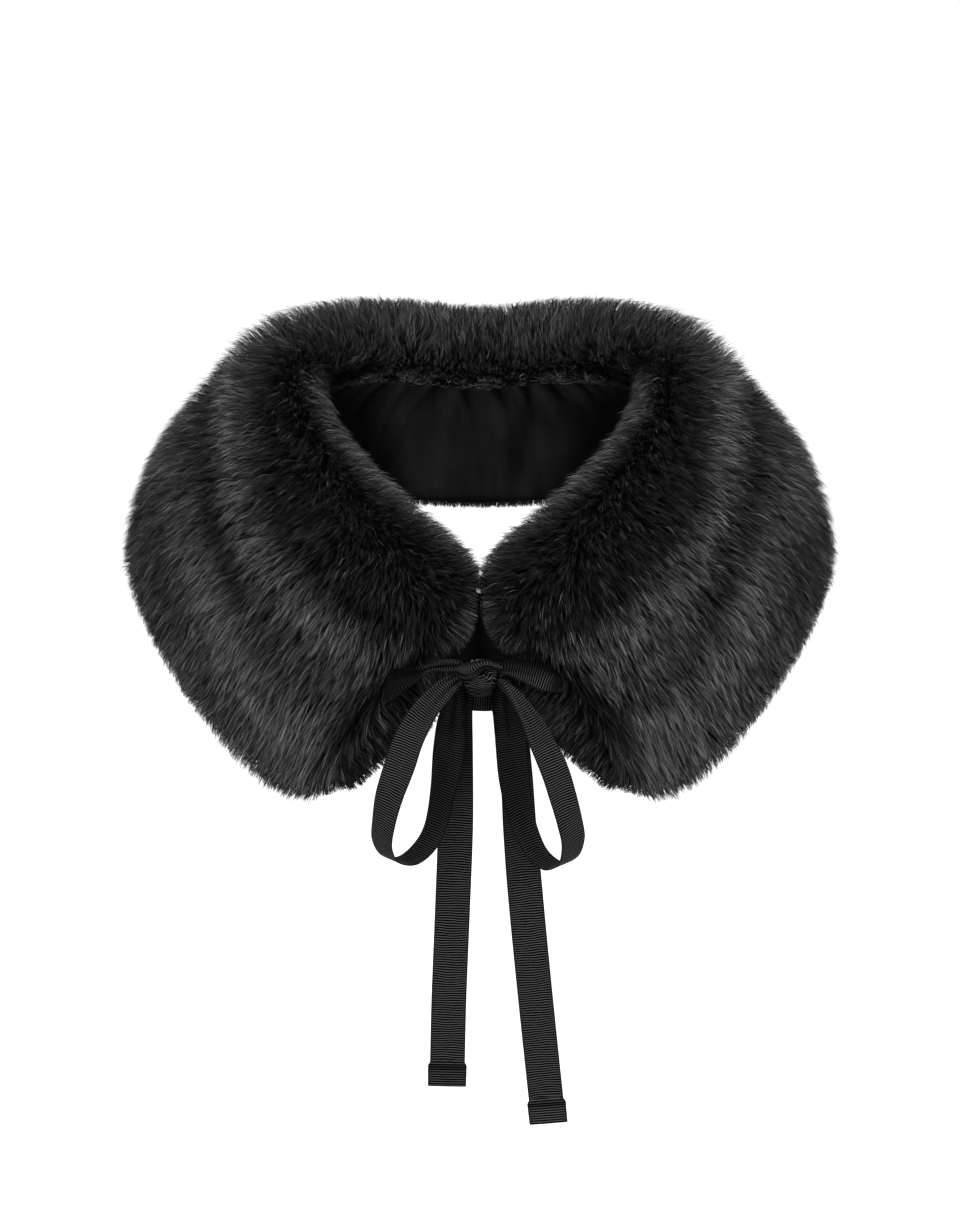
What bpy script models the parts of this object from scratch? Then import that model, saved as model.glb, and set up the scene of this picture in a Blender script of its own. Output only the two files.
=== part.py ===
"""A fur collar wrap: a rolled faux-fur collar, lined, and tied at the front with a grosgrain ribbon bow.

Blender 4.5: blender --background --python part.py. Metres, +Z up, the wearer faces -Y.
The origin is the centre of the neck hollow, on the line where the collar rests on the shoulders.
Each piece that is cut and sewn on is one closed solid in an object of its own. Left and right are
the wearer's. Sizes below are in millimetres and degrees.
"""

import math

import bmesh
import bpy
import numpy as np
from mathutils import Vector

MM = 0.001
SHARP_ANGLE = 40.0  # edges sharper than this aren't smoothed
FIT_GAP = 0.3  # between pieces that touch

# --- The collar's driving sizes -----------------------------------------------------------------
NECK_HALF_WIDTH = 108.0  # from the neck's centre out to the centre of the roll at the side
NECK_HALF_DEPTH = 95.0  # the same, to the back and to the front
ROLL_RADIUS = 23.0  # half the thickness of the fur roll round the neck
PILE_SIDE = 17.0  # from the panel's middle surface out to the tips of the pile
LINED_SIDE = 11.0  # from the middle surface in to the lining
HEM_RADIUS = 11.0  # half the thickness at the outer edge
ROLL_SHARE = 0.3  # how much of the width the roll fades over
HEM_SHARE = 0.4  # how much of the width thins towards the hem
RIDGE_HEIGHT = 1.0  # soft ridges that run round the collar, parallel to the neck
RIDGE_COUNT = 2
RIDGE_SHIFT = 0.1  # where the first begins, as a share of the width
RIDGE_FADE = 0.2  # they fade over this share of the width, at the roll and at the hem

# A row for each section, from the centre back round to the front edge on the wearer's left.
# turn: degrees round the neck. rise: height of the roll's centre. heading, slope: the way the panel
# falls from the roll, in degrees from the back and down. width: from the roll's centre to the hem's.
# bulge: how far the middle stands out. swerve: how far the middle bends towards the centre front.
COLUMNS = ("turn", "rise", "heading", "slope", "width", "bulge", "swerve")
SECTIONS = (
    (0, 38, 0, 59, 108, 7, 0),
    (28, 44, 22, 58, 110, 9, 0),
    (50, 46, 43, 55, 116, 12, 0),
    (72, 42, 64, 52, 120, 14, 0),
    (90, 31, 85, 50, 122, 15, 0),
    (108, 15, 99, 52, 126, 15, 0),
    (132, -13, 104, 54, 131, 14, 0),
    (154, -40, 106, 55, 132, 13, 1),
    (168, -60, 106, 55, 127, 12, 3),
    (173, -75, 109, 55, 106, 11, 5),
)
ODD_COLUMNS = ("turn", "heading")  # these change sign across the centre back
LAST = len(SECTIONS) - 1  # the section at the front edge
SHOULDER = 3.6  # where the back panel meets the fronts, counted in sections

# How far the pile of the front edges reaches past the last section
REACH_AT_HEM = 7.0
REACH_GROWTH = 9.0  # how much further near the roll, growing evenly
REACH_CLOSED = 36.0  # and how much more near the roll, where the two fronts meet
CLOSED_SHARE = 0.15  # how much of the width meets
CLOSED_FADE = 0.22  # how much of the width it fades over

# The pinch where the ribbon draws each front in, as seen from the front: x and z of its two ends
PINCH_FROM = (6.0, -103.0)
PINCH_TO = (58.0, -122.0)
PINCH_DEPTH = 9.0
PINCH_HALF_WIDTH = 9.0
PINCH_FADE = 0.7  # the share of its depth that it loses along its length

# --- The lining's sizes -------------------------------------------------------------------------
LINING_THICKNESS = 1.2
GATHER_DEPTH = 1.4
GATHERS_PER_SECTION = 2.2
GATHERED_SECTIONS = 2.8  # either side of the centre back
GATHER_FADE = 0.6  # the gathers fade at their ends over this many sections
GATHER_WANDER = 0.9  # how unevenly they are spaced, and how slowly that changes
GATHER_WANDER_RATE = 2.3
GATHER_LENGTH = 0.8  # how far down the lining they run, as a share of it
GATHER_START = 0.3  # their depth at the seam, as a share of the most, which comes at GATHER_FULL
GATHER_FULL = 0.1

# --- The ribbon's sizes -------------------------------------------------------------------------
RIBBON_WIDTH = 19.0
RIBBON_THICKNESS = 1.0
MOST_GATHERED = 2.4  # thickness where the ribbon is drawn together, in layers
HEM_DEPTH = 14.0
HEM_LAYERS = 2.2
HEM_SPREAD = 1.0  # how much wider the folded hem is than the ribbon
HEM_STEP = 0.6  # the length over which the ribbon thickens into its hem

# Each stretch runs down its rows. x, y, z: the middle of the ribbon. swing, lift: the way its width
# runs, in degrees from +X in plan and up. width: less than the ribbon's where it is drawn together.
ROUTE_COLUMNS = ("x", "y", "z", "swing", "lift", "width")
LOOP_RIGHT = (
    (-11.2, -138, -104.5, -10, -40, 7),
    (-19, -142, -109.5, -14, -40, 11),
    (-28, -146.5, -119.5, -20, -28, 15),
    (-36.4, -151, -133, -27, -10, 18),
    (-42.8, -154, -149, -32, 0, 19),
    (-48, -156, -164, -40, 0, 19),
    (-51, -156, -178, -50, 0, 19),
    (-52, -153, -191, -56, 0, 19),
    (-47.5, -147, -201, -58, 0, 19),
    (-38.5, -139, -204, -56, 0, 19),
    (-29.5, -132.5, -198, -54, 0, 19),
    (-24, -129, -188, -54, 0, 19),
    (-20, -128, -169, -46, 0, 19),
    (-17, -127.5, -148, -30, 0, 19),
    (-15.5, -129, -131, -20, 0, 18),
    (-13, -130.4, -116, -10, 0, 12),
    (-13.8, -130.2, -106.5, 0, 0, 8),
)
LOOP_LEFT = (
    (10.5, -138, -106, 10, -40, 8),
    (17, -142, -112, 20, -38, 11),
    (25.5, -146.5, -123.5, 30, -28, 14),
    (33.3, -150, -138, 38, -12, 18),
    (39.5, -153, -151, 40, 0, 19),
    (44, -155, -165, 42, 0, 19),
    (47.5, -155.5, -178, 46, 0, 19),
    (49.5, -154, -190, 50, 0, 19),
    (47, -149, -201, 56, 0, 19),
    (39.5, -141, -206.5, 58, 0, 19),
    (31, -134.5, -202, 54, 0, 19),
    (25.5, -131, -192, 50, 0, 19),
    (21, -129, -178, 42, 0, 19),
    (18, -128, -160, 32, 0, 19),
    (16.5, -128, -140, 28, 0, 19),
    (13.6, -130, -119, 14, 0, 14),
    (13.6, -130.2, -107, 0, 0, 8),
)
TAIL_RIGHT = (
    (-8, -126.4, -114.5, 0, 0, 10),
    (-11.5, -125.6, -127, -2, 0, 15),
    (-13.2, -121, -150, -6, 0, 19),
    (-13.2, -121, -190, 2, 0, 19),
    (-14.8, -122, -235, 4, 0, 19),
    (-16.8, -123, -285, 2, 0, 19),
    (-17.7, -123, -322, 0, 0, 19),
)
TAIL_LEFT = (
    (8, -126.4, -114.5, 0, 0, 10),
    (12.2, -125.5, -127, 3, 0, 15),
    (17.8, -121, -155, 27, 0, 19),
    (21.7, -121, -195, 18, 0, 19),
    (25.6, -122, -240, 0, 0, 19),
    (30.5, -123, -290, -2, 0, 19),
    (36, -123.5, -343, -4, 0, 19),
)
CROSSING = (
    (-15, -120.5, -116, 90, 88, 18),
    (0, -124.2, -116, 90, 88, 19),
    (15, -120.5, -117, 90, 88, 18),
)
# The ties run free from the knot, and then lie on the pile of the fronts. station: counted back from
# the last section. point: the pile's point under the ribbon's middle. fullness: the ribbon's width,
# as a share of the two stretches of pile beside that point.
TIE_RIGHT_FREE = ((-10.4, -133, -101, 90, 80, 7), (-18, -132, -100.5, 90, 80, 7))
TIE_LEFT_FREE = ((10.4, -133, -101.5, 90, 80, 7), (18, -132, -103, 90, 75, 13))
LAID_COLUMNS = ("station", "point", "fullness")
TIE_RIGHT_LAID = ((0, 5, 0.45), (1, 6, 0.7), (2, 7, 0.7))
TIE_LEFT_LAID = ((0, 6, 0.85), (1, 6.5, 1.0), (2, 7, 0.95))
LAID_GAP = 0.6  # between the ribbon and the pile that it lies on

# The knot, from its top down. z: height. wide, deep: its half sizes. lean: how far forward it sits.
KNOT_COLUMNS = ("z", "wide", "deep", "lean")
KNOT = (
    (-95.2, 4.0, 2.6, 1.0),
    (-96.6, 8.2, 5.2, 0.6),
    (-99.6, 10.0, 7.0, 0.0),
    (-103.2, 9.8, 7.8, 0.3),
    (-107.0, 8.8, 8.2, 1.2),
    (-110.6, 7.4, 7.2, 1.2),
    (-113.8, 5.4, 4.8, 0.4),
    (-115.6, 2.4, 2.2, 0.0),
)
KNOT_Y = -132.4
KNOT_SIDES = 16
KNOT_SQUARENESS = 2.6  # 2 is an ellipse


def table(columns, rows):
    """The rows as dicts by column name."""
    return [dict(zip(columns, row)) for row in rows]


def smooth(x):
    """0 below 0, 1 above 1, and a smooth step between."""
    x = min(max(x, 0.0), 1.0)
    return x * x * (3 - 2 * x)


def spline(before, start, end, after, t):
    """Catmull-Rom between start (t = 0) and end (t = 1)."""
    weights = (
        (-t + 2 * t**2 - t**3) / 2,
        (2 - 5 * t**2 + 3 * t**3) / 2,
        (t + 4 * t**2 - 3 * t**3) / 2,
        (t**3 - t**2) / 2,
    )
    return sum(w * p for w, p in zip(weights, (before, start, end, after)))


# --- The collar's surfaces ----------------------------------------------------------------------
def section_at(u):
    """The columns at section u, between the rows, as a dict."""
    i = min(int(abs(u)), LAST - 1)

    def row(k):
        if k < 0:
            signs = [-1 if c in ODD_COLUMNS else 1 for c in COLUMNS]
            return np.array(signs) * np.array(SECTIONS[-k], float)
        if k > LAST:
            return 2 * np.array(SECTIONS[LAST], float) - np.array(SECTIONS[LAST - 1], float)
        return np.array(SECTIONS[k], float)

    values = spline(row(i - 1), row(i), row(i + 1), row(i + 2), abs(u) - i)
    return dict(zip(COLUMNS, values))


def middle_at(u, v):
    """The panel's middle surface: v is 0 at the roll's centre and 1 at the hem's."""
    s = section_at(min(abs(u), LAST))
    turn, heading, slope = (math.radians(s[c]) for c in ("turn", "heading", "slope"))
    roll = np.array([NECK_HALF_WIDTH * math.sin(turn), NECK_HALF_DEPTH * math.cos(turn), s["rise"]])
    out = np.array([math.sin(heading), math.cos(heading), 0.0])
    fall = out * math.cos(slope) - np.array([0, 0, math.sin(slope)])
    around = np.array([math.cos(turn), -math.sin(turn), 0.0])
    around -= around.dot(fall) * fall
    around /= np.linalg.norm(around)
    proud = np.cross(around, fall)
    arch = 4 * v * (1 - v)
    point = roll + fall * s["width"] * v + arch * (proud * s["bulge"] + around * s["swerve"])
    return point * (1 if u >= 0 else np.array([-1, 1, 1]))


def frame_at(u, v):
    """On the middle surface: the point, the way out of the pile, to the hem, and along the collar."""
    du, dv = 0.02, 0.01  # small steps to measure the directions over
    inside = max(du - LAST, min(LAST - du, u))
    along = middle_at(inside + du, v) - middle_at(inside - du, v)
    down = middle_at(u, v + dv) - middle_at(u, v - dv)
    down /= np.linalg.norm(down)
    out = np.cross(along, down)
    out /= np.linalg.norm(out)
    return middle_at(u, v), out, down, np.cross(down, out)


def half_thickness(v, flat):
    """The roll's, then flat, then the hem's."""
    roll = math.exp(-((v / ROLL_SHARE) ** 2))
    between = flat + (HEM_RADIUS - flat) * smooth((v - 1 + HEM_SHARE) / HEM_SHARE)
    return between + (ROLL_RADIUS - between) * roll


def reach_at(v):
    """How far the pile reaches past the last section at v."""
    meeting = 1 - smooth((v - CLOSED_SHARE) / CLOSED_FADE)
    return REACH_AT_HEM + REACH_GROWTH * (1 - v) + REACH_CLOSED * meeting


def pinch_at(point):
    """How far the ribbon's pinch draws in a point of the pile."""
    start, end = np.array(PINCH_FROM), np.array(PINCH_TO)
    at = np.array([abs(point[0]), point[2]])
    share = np.clip((at - start).dot(end - start) / (end - start).dot(end - start), 0, 1)
    away = np.linalg.norm(at - start - share * (end - start))
    return PINCH_DEPTH * (1 - PINCH_FADE * share) * math.exp(-((away / PINCH_HALF_WIDTH) ** 2))


def clear_of_other_front(point, along, u):
    """The point, slid back along the collar where it would pass the centre front."""
    side = math.copysign(1, u)
    past = FIT_GAP / 2 - side * point[0]
    if abs(u) > SHOULDER and past > 0:
        point = point - along * side * past / abs(along[0])
    return point


def outline_at(u, side, t):
    """A point on the collar's outside, t along a side of its section, and the way out there.

    Past the last section the thickness falls to nothing over one more, a rounded front edge.
    """
    past = min(max(abs(u) - LAST, 0.0), 1.0)
    v = {"neck": 0.0, "pile": t, "hem": 1.0, "lined": 1 - t}[side]
    middle, out, down, along = frame_at(u, v)
    middle = middle + along * math.copysign(reach_at(v) * past, u)
    angle = math.pi * t
    if side == "neck":
        way = -math.cos(angle) * out - math.sin(angle) * down
        thick = ROLL_RADIUS
    elif side == "hem":
        way = math.cos(angle) * out + math.sin(angle) * down
        thick = HEM_RADIUS
    elif side == "pile":
        way = out
        fade = smooth(v / RIDGE_FADE) * smooth((1 - v) / RIDGE_FADE)
        ridge = math.sin(2 * math.pi * RIDGE_COUNT * (v - RIDGE_SHIFT)) * fade
        thick = half_thickness(v, PILE_SIDE) + RIDGE_HEIGHT * ridge
    else:
        way = -out
        thick = half_thickness(v, LINED_SIDE)
    point = middle + way * thick * math.sqrt(1 - past**2)
    point = point - out * pinch_at(point) * max(way.dot(out), 0)
    return clear_of_other_front(point, along, u), way


# --- Solids from rings --------------------------------------------------------------------------
def solid(name, rings, material):
    """One closed solid through rings of points, with flat ends."""
    count = len(rings[0])
    faces = []
    for a in range(len(rings) - 1):
        for k in range(count):
            near, far, step = a * count, (a + 1) * count, (k + 1) % count
            faces.append((near + k, near + step, far + step, far + k))
    faces.append(tuple(reversed(range(count))))
    faces.append(tuple((len(rings) - 1) * count + k for k in range(count)))
    mesh = bpy.data.meshes.new(name)
    mesh.from_pydata([Vector(p) * MM for ring in rings for p in ring], [], faces)
    bm = bmesh.new()
    bm.from_mesh(mesh)
    bmesh.ops.recalc_face_normals(bm, faces=bm.faces)
    bm.to_mesh(mesh)
    bm.free()
    mesh.materials.append(material)
    mesh.shade_smooth()
    mesh.set_sharp_from_angle(angle=math.radians(SHARP_ANGLE))
    bpy.context.collection.objects.link(bpy.data.objects.new(name, mesh))


def make_material(name, colour, roughness):
    """A plain material of one colour."""
    made = bpy.data.materials.new(name)
    made.use_nodes = True
    shader = made.node_tree.nodes["Principled BSDF"]
    shader.inputs["Base Color"].default_value = (*colour, 1)
    shader.inputs["Roughness"].default_value = roughness
    made.diffuse_color = (*colour, 1)
    return made


# --- Fur panels and lining ----------------------------------------------------------------------
SIDES = (("neck", 8), ("pile", 14), ("hem", 6), ("lined", 12))  # points round a section
BACK_STATIONS = np.linspace(-SHOULDER, SHOULDER, 19)
FRONT_STATIONS = np.linspace(SHOULDER, LAST, 15)
NOSE_STATIONS = 9  # round the front edge
NOSE_END = 86.0  # degrees round it, where the solid closes
GATHER_PARTS = 3  # rings of the lining for each of the fur's, where it is gathered


def fur_ring(u):
    """A closed section of the fur at u."""
    return [outline_at(u, side, k / count)[0] for side, count in SIDES for k in range(count)]


def seam_ring(u, shift):
    """The section flattened into the seam's plane, which is moved by shift along the collar."""
    middle, _, _, along = frame_at(u, 0.5)
    return [p - along * ((p - middle).dot(along) - shift) for p in fur_ring(u)]


def make_fur(material):
    """The back and the two fronts, parted by the fit gap at the shoulder seams."""
    half = FIT_GAP / 2
    back = [fur_ring(u) for u in BACK_STATIONS]
    back[0], back[-1] = seam_ring(-SHOULDER, half), seam_ring(SHOULDER, -half)
    solid("fur_back", back, material)
    nose = [LAST + math.sin(math.radians(NOSE_END * (k + 1) / NOSE_STATIONS)) for k in range(NOSE_STATIONS)]
    for name, side in (("fur_front_left", 1), ("fur_front_right", -1)):
        front = [fur_ring(side * u) for u in (*FRONT_STATIONS, *nose)]
        front[0] = seam_ring(side * SHOULDER, side * half)
        solid(name, front, material)


def lining_side(u):
    """The fur's lined side at u, between its seams near the roll and near the hem."""
    count = dict(SIDES)["lined"]
    return [np.array(outline_at(u, "lined", k / count)) for k in range(count - 1, 0, -1)]


def lining_ring(start, end, t):
    """A section of the lining, between two of the fur's: down its fur side and back up its wearer's side."""
    u = start + (end - start) * t
    fading = smooth((GATHERED_SECTIONS - abs(u)) / GATHER_FADE)
    phase = 2 * math.pi * GATHERS_PER_SECTION * u + GATHER_WANDER * math.sin(GATHER_WANDER_RATE * u)
    depth = GATHER_DEPTH * fading * (1 + math.cos(phase)) / 2
    near, far = lining_side(start), lining_side(end)
    fur_side, wearer_side = [], []
    for k in range(len(near)):
        point, way = near[k] * (1 - t) + far[k] * t
        share = k / (len(near) - 1)
        growing = GATHER_START + (1 - GATHER_START) * smooth(share / GATHER_FULL)
        gather = depth * growing * (1 - smooth(share / GATHER_LENGTH))
        fur_side.append(point + way * (FIT_GAP + gather))
        wearer_side.append(point + way * (FIT_GAP + gather + LINING_THICKNESS))
    return fur_side + wearer_side[::-1]


def make_lining(material):
    """One piece from front edge to front edge, gathered across the back."""
    stations = (*-FRONT_STATIONS[:0:-1], *BACK_STATIONS, *FRONT_STATIONS[1:])
    rings = []
    for start, end in zip(stations, stations[1:]):
        parts = GATHER_PARTS if min(abs(start), abs(end)) < GATHERED_SECTIONS else 1
        rings += [lining_ring(start, end, k / parts) for k in range(parts)]
    rings.append(lining_ring(stations[-2], stations[-1], 1))
    solid("lining", rings, material)


# --- Ribbon -------------------------------------------------------------------------------------
SAMPLES = 3  # rings for each row of a route


def ribbon_ring(middle, across, normal, width, layers):
    """A ribbon's section: three points on one face and three back on the other."""
    half = RIBBON_THICKNESS * layers / 2
    line = [middle + across * width * share for share in (-0.5, 0, 0.5)]
    return [p + normal * half for p in line] + [p - normal * half for p in reversed(line)]


def route_rings(rows, samples=SAMPLES):
    """Rings along a free stretch of ribbon."""
    values = np.array(rows, float)
    values = np.vstack([2 * values[0] - values[1], values, 2 * values[-1] - values[-2]])
    path = [
        spline(*values[i : i + 4], k / samples)
        for i in range(len(rows) - 1)
        for k in range(samples)
    ] + [values[-2]]
    rings = []
    for i, row in enumerate(path):
        along = path[min(i + 1, len(path) - 1)][:3] - path[max(i - 1, 0)][:3]
        along /= np.linalg.norm(along)
        swing, lift = math.radians(row[3]), math.radians(row[4])
        across = np.array([math.cos(lift) * math.cos(swing), math.cos(lift) * math.sin(swing), math.sin(lift)])
        across -= across.dot(along) * along
        across /= np.linalg.norm(across)
        layers = min(RIBBON_WIDTH / row[5], MOST_GATHERED)
        rings.append(ribbon_ring(row[:3], across, np.cross(along, across), row[5], layers))
    return rings


def hemmed(rings):
    """The rings of a tail with its folded hem at the end."""
    middle = [np.mean(ring, axis=0) for ring in rings]
    along = middle[-1] - middle[-2]
    along /= np.linalg.norm(along)
    across = rings[-1][2] - rings[-1][0]
    across /= np.linalg.norm(across)
    normal = np.cross(along, across)
    for distance in (HEM_STEP, HEM_DEPTH):
        end = middle[-1] + along * distance
        rings.append(ribbon_ring(end, across, normal, RIBBON_WIDTH + HEM_SPREAD, HEM_LAYERS))
    return rings


def pile_point(station, point):
    """A point of a front's own mesh, or between two of them, and the way out there."""
    u, count = FRONT_STATIONS[-1 - station], dict(SIDES)["pile"]
    below, above = (np.array(outline_at(u, "pile", k / count)) for k in (math.floor(point), math.ceil(point)))
    return below + (above - below) * (point % 1)


def laid_rings(rows, side):
    """Rings of a ribbon that lies on the pile, its two faces made from the panel's points moved out."""
    mirror = np.array([side, 1, 1])
    rings = []
    for row in table(LAID_COLUMNS, rows):
        laid = [pile_point(row["station"], row["point"] + k * row["fullness"]) * mirror for k in (-1, 0, 1)]
        near = [p + way * LAID_GAP for p, way in laid]
        far = [p + way * (LAID_GAP + RIBBON_THICKNESS) for p, way in laid]
        rings.append(far[::-1] + near if side > 0 else near[::-1] + far)
    return rings


def knot_rings():
    """The knot's level sections."""
    rings = []
    for row in table(KNOT_COLUMNS, KNOT):
        ring = []
        for k in range(KNOT_SIDES):
            angle = 2 * math.pi * k / KNOT_SIDES
            c, s = math.cos(angle), math.sin(angle)
            round_off = (abs(c) ** KNOT_SQUARENESS + abs(s) ** KNOT_SQUARENESS) ** (-1 / KNOT_SQUARENESS)
            x = row["wide"] * c * round_off
            y = KNOT_Y - row["lean"] + row["deep"] * s * round_off
            ring.append(np.array([x, y, row["z"]]))
        rings.append(ring)
    return rings


def make_ribbon(material):
    """The tie, a solid for each stretch that shows."""
    solid("knot", knot_rings(), material)
    solid("tie_crossing", route_rings(CROSSING), material)
    solid("tie_left", route_rings(TIE_LEFT_FREE) + laid_rings(TIE_LEFT_LAID, 1), material)
    solid("tie_right", route_rings(TIE_RIGHT_FREE) + laid_rings(TIE_RIGHT_LAID, -1), material)
    solid("loop_left", route_rings(LOOP_LEFT), material)
    solid("loop_right", route_rings(LOOP_RIGHT), material)
    solid("tail_left", hemmed(route_rings(TAIL_LEFT)), material)
    solid("tail_right", hemmed(route_rings(TAIL_RIGHT)), material)


def main():
    for old in list(bpy.data.objects):
        bpy.data.objects.remove(old)
    make_fur(make_material("faux fur", (0.022, 0.021, 0.022), 0.8))
    make_lining(make_material("lining twill", (0.006, 0.006, 0.006), 0.7))
    make_ribbon(make_material("grosgrain", (0.012, 0.012, 0.012), 0.6))


main()
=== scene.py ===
"""The looks of a fur collar wrap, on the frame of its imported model.

Blender 4.5. Metres, +Z up, the wearer faces -Y. The collar's own sizes below are in millimetres and
degrees, and MM turns them into metres where a mesh is made. A point of the collar is named by u, its
section counted from the centre back, and q, its place round that section: from -1 to 0 over the roll
at the neck, from 0 to 1 down the pile, and from 1 to 2 round the hem. Left and right are the wearer's.
"""

import functools
import math

import bmesh
import bpy
import numpy as np
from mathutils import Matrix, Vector


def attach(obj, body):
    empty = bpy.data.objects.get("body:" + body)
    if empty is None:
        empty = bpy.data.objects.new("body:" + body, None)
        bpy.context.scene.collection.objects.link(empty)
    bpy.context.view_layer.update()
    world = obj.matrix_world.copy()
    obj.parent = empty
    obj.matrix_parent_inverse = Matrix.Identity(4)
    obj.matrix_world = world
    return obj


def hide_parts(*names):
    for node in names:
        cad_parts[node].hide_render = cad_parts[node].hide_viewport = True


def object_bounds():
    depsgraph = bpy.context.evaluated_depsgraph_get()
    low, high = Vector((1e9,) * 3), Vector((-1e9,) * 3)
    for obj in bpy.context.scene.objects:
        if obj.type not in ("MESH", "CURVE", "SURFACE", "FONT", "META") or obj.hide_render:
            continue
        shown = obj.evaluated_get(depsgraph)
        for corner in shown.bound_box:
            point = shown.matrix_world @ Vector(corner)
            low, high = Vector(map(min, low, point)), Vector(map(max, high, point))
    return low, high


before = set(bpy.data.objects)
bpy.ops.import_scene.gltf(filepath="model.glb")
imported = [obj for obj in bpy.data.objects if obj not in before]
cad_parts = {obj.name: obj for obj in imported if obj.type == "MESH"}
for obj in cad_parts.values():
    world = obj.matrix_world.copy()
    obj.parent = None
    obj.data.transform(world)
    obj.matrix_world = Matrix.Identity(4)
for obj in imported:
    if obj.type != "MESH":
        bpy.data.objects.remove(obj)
cad_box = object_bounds()

MM = 0.001

# --- The collar's driving sizes, as in the model ------------------------------------------------
NECK_HALF_WIDTH = 108.0
NECK_HALF_DEPTH = 95.0
ROLL_RADIUS = 23.0
PILE_SIDE = 17.0
LINED_SIDE = 11.0
HEM_RADIUS = 11.0
ROLL_SHARE = 0.3
HEM_SHARE = 0.4

COLUMNS = ("turn", "rise", "heading", "slope", "width", "bulge", "swerve")
SECTIONS = (
    (0, 38, 0, 59, 108, 7, 0),
    (28, 44, 22, 58, 110, 9, 0),
    (50, 46, 43, 55, 116, 12, 0),
    (72, 42, 64, 52, 120, 14, 0),
    (90, 31, 85, 50, 122, 15, 0),
    (108, 15, 99, 52, 126, 15, 0),
    (132, -13, 104, 54, 131, 14, 0),
    (154, -40, 106, 55, 132, 13, 1),
    (168, -60, 106, 55, 127, 12, 3),
    (173, -75, 109, 55, 106, 11, 5),
)
ODD_COLUMNS = ("turn", "heading")  # these change sign across the centre back
LAST = len(SECTIONS) - 1
SHOULDER = 3.6

REACH_AT_HEM = 7.0
REACH_GROWTH = 9.0
REACH_CLOSED = 36.0
CLOSED_SHARE = 0.15
CLOSED_FADE = 0.22
FIT_GAP = 0.3

PINCH_FROM = (6.0, -103.0)
PINCH_TO = (58.0, -122.0)
PINCH_DEPTH = 9.0
PINCH_HALF_WIDTH = 9.0
PINCH_FADE = 0.7


def smooth(x):
    """0 below 0, 1 above 1, and a smooth step between."""
    x = np.clip(x, 0, 1)
    return x * x * (3 - 2 * x)


def rising(x, start, over):
    """0 up to start, and 1 from so much past it."""
    return smooth((x - start) / over)


def falling(x, end, over):
    """1 until so much before the end, and 0 from there."""
    return smooth((end - x) / over)


def hump(x, at, spread):
    """1 at one place, and a bell's fall to both sides."""
    return np.exp(-(((x - at) / spread) ** 2))


def spline(before, start, end, after, t):
    """Catmull-Rom between start (t = 0) and end (t = 1)."""
    weights = (
        (-t + 2 * t**2 - t**3) / 2,
        (2 - 5 * t**2 + 3 * t**3) / 2,
        (t + 4 * t**2 - 3 * t**3) / 2,
        (t**3 - t**2) / 2,
    )
    return sum(w * p for w, p in zip(weights, (before, start, end, after)))


def unit(vectors):
    """The vectors, each of length 1."""
    return vectors / np.maximum(np.linalg.norm(vectors, axis=-1, keepdims=True), 1e-12)


def dot(a, b):
    """Dot products that can multiply vectors."""
    return (a * b).sum(-1, keepdims=True)


def square_to(way, vectors):
    """The vectors, turned square to a way."""
    return unit(vectors - dot(vectors, way) * way)


def gone_along(points):
    """The length from the first point to each."""
    return np.append(0, np.cumsum(np.linalg.norm(np.diff(points, axis=0), axis=1)))


# --- The collar's surfaces, for arrays of u and v ------------------------------------------------
def sections(u):
    """The columns at each section u, between the rows."""
    rows = np.array(SECTIONS, float)
    signs = [-1 if c in ODD_COLUMNS else 1 for c in COLUMNS]
    rows = np.vstack([signs * rows[1], rows, 2 * rows[-1] - rows[-2]])
    i = np.minimum(u.astype(int), LAST - 1)
    values = spline(rows[i], rows[i + 1], rows[i + 2], rows[i + 3], (u - i)[..., None])
    return {c: values[..., k] for k, c in enumerate(COLUMNS)}


def middle_at(u, v):
    """The panel's middle surface: v is 0 at the roll's centre and 1 at the hem's."""
    s = sections(np.minimum(np.abs(u), LAST))
    turn, heading, slope = (np.radians(s[c]) for c in ("turn", "heading", "slope"))
    level = np.zeros_like(turn)
    roll = np.stack([NECK_HALF_WIDTH * np.sin(turn), NECK_HALF_DEPTH * np.cos(turn), s["rise"]], -1)
    fall = np.stack(
        [np.sin(heading) * np.cos(slope), np.cos(heading) * np.cos(slope), -np.sin(slope)], -1
    )
    around = np.stack([np.cos(turn), -np.sin(turn), level], -1)
    around = square_to(fall, around)
    proud = np.cross(around, fall)
    arch = 4 * v * (1 - v)
    point = roll + fall * (s["width"] * v)[..., None]
    point += proud * (s["bulge"] * arch)[..., None] + around * (s["swerve"] * arch)[..., None]
    point[..., 0] *= np.where(u >= 0, 1, -1)
    return point


def frame_at(u, v):
    """On the middle surface: the point, the way out of the pile, to the hem, and along the collar."""
    du, dv = 0.02, 0.01
    inside = np.clip(u, du - LAST, LAST - du)
    along = middle_at(inside + du, v) - middle_at(inside - du, v)
    down = unit(middle_at(u, v + dv) - middle_at(u, v - dv))
    out = unit(np.cross(along, down))
    return middle_at(u, v), out, down, np.cross(down, out)


def half_thickness(v, flat):
    """The roll's, then flat, then the hem's."""
    between = flat + (HEM_RADIUS - flat) * rising(v, 1 - HEM_SHARE, HEM_SHARE)
    return between + (ROLL_RADIUS - between) * hump(v, 0, ROLL_SHARE)


def reach_at(v):
    """How far the pile reaches past the last section at v."""
    meeting = 1 - rising(v, CLOSED_SHARE, CLOSED_FADE)
    return REACH_AT_HEM + REACH_GROWTH * (1 - v) + REACH_CLOSED * meeting


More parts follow.
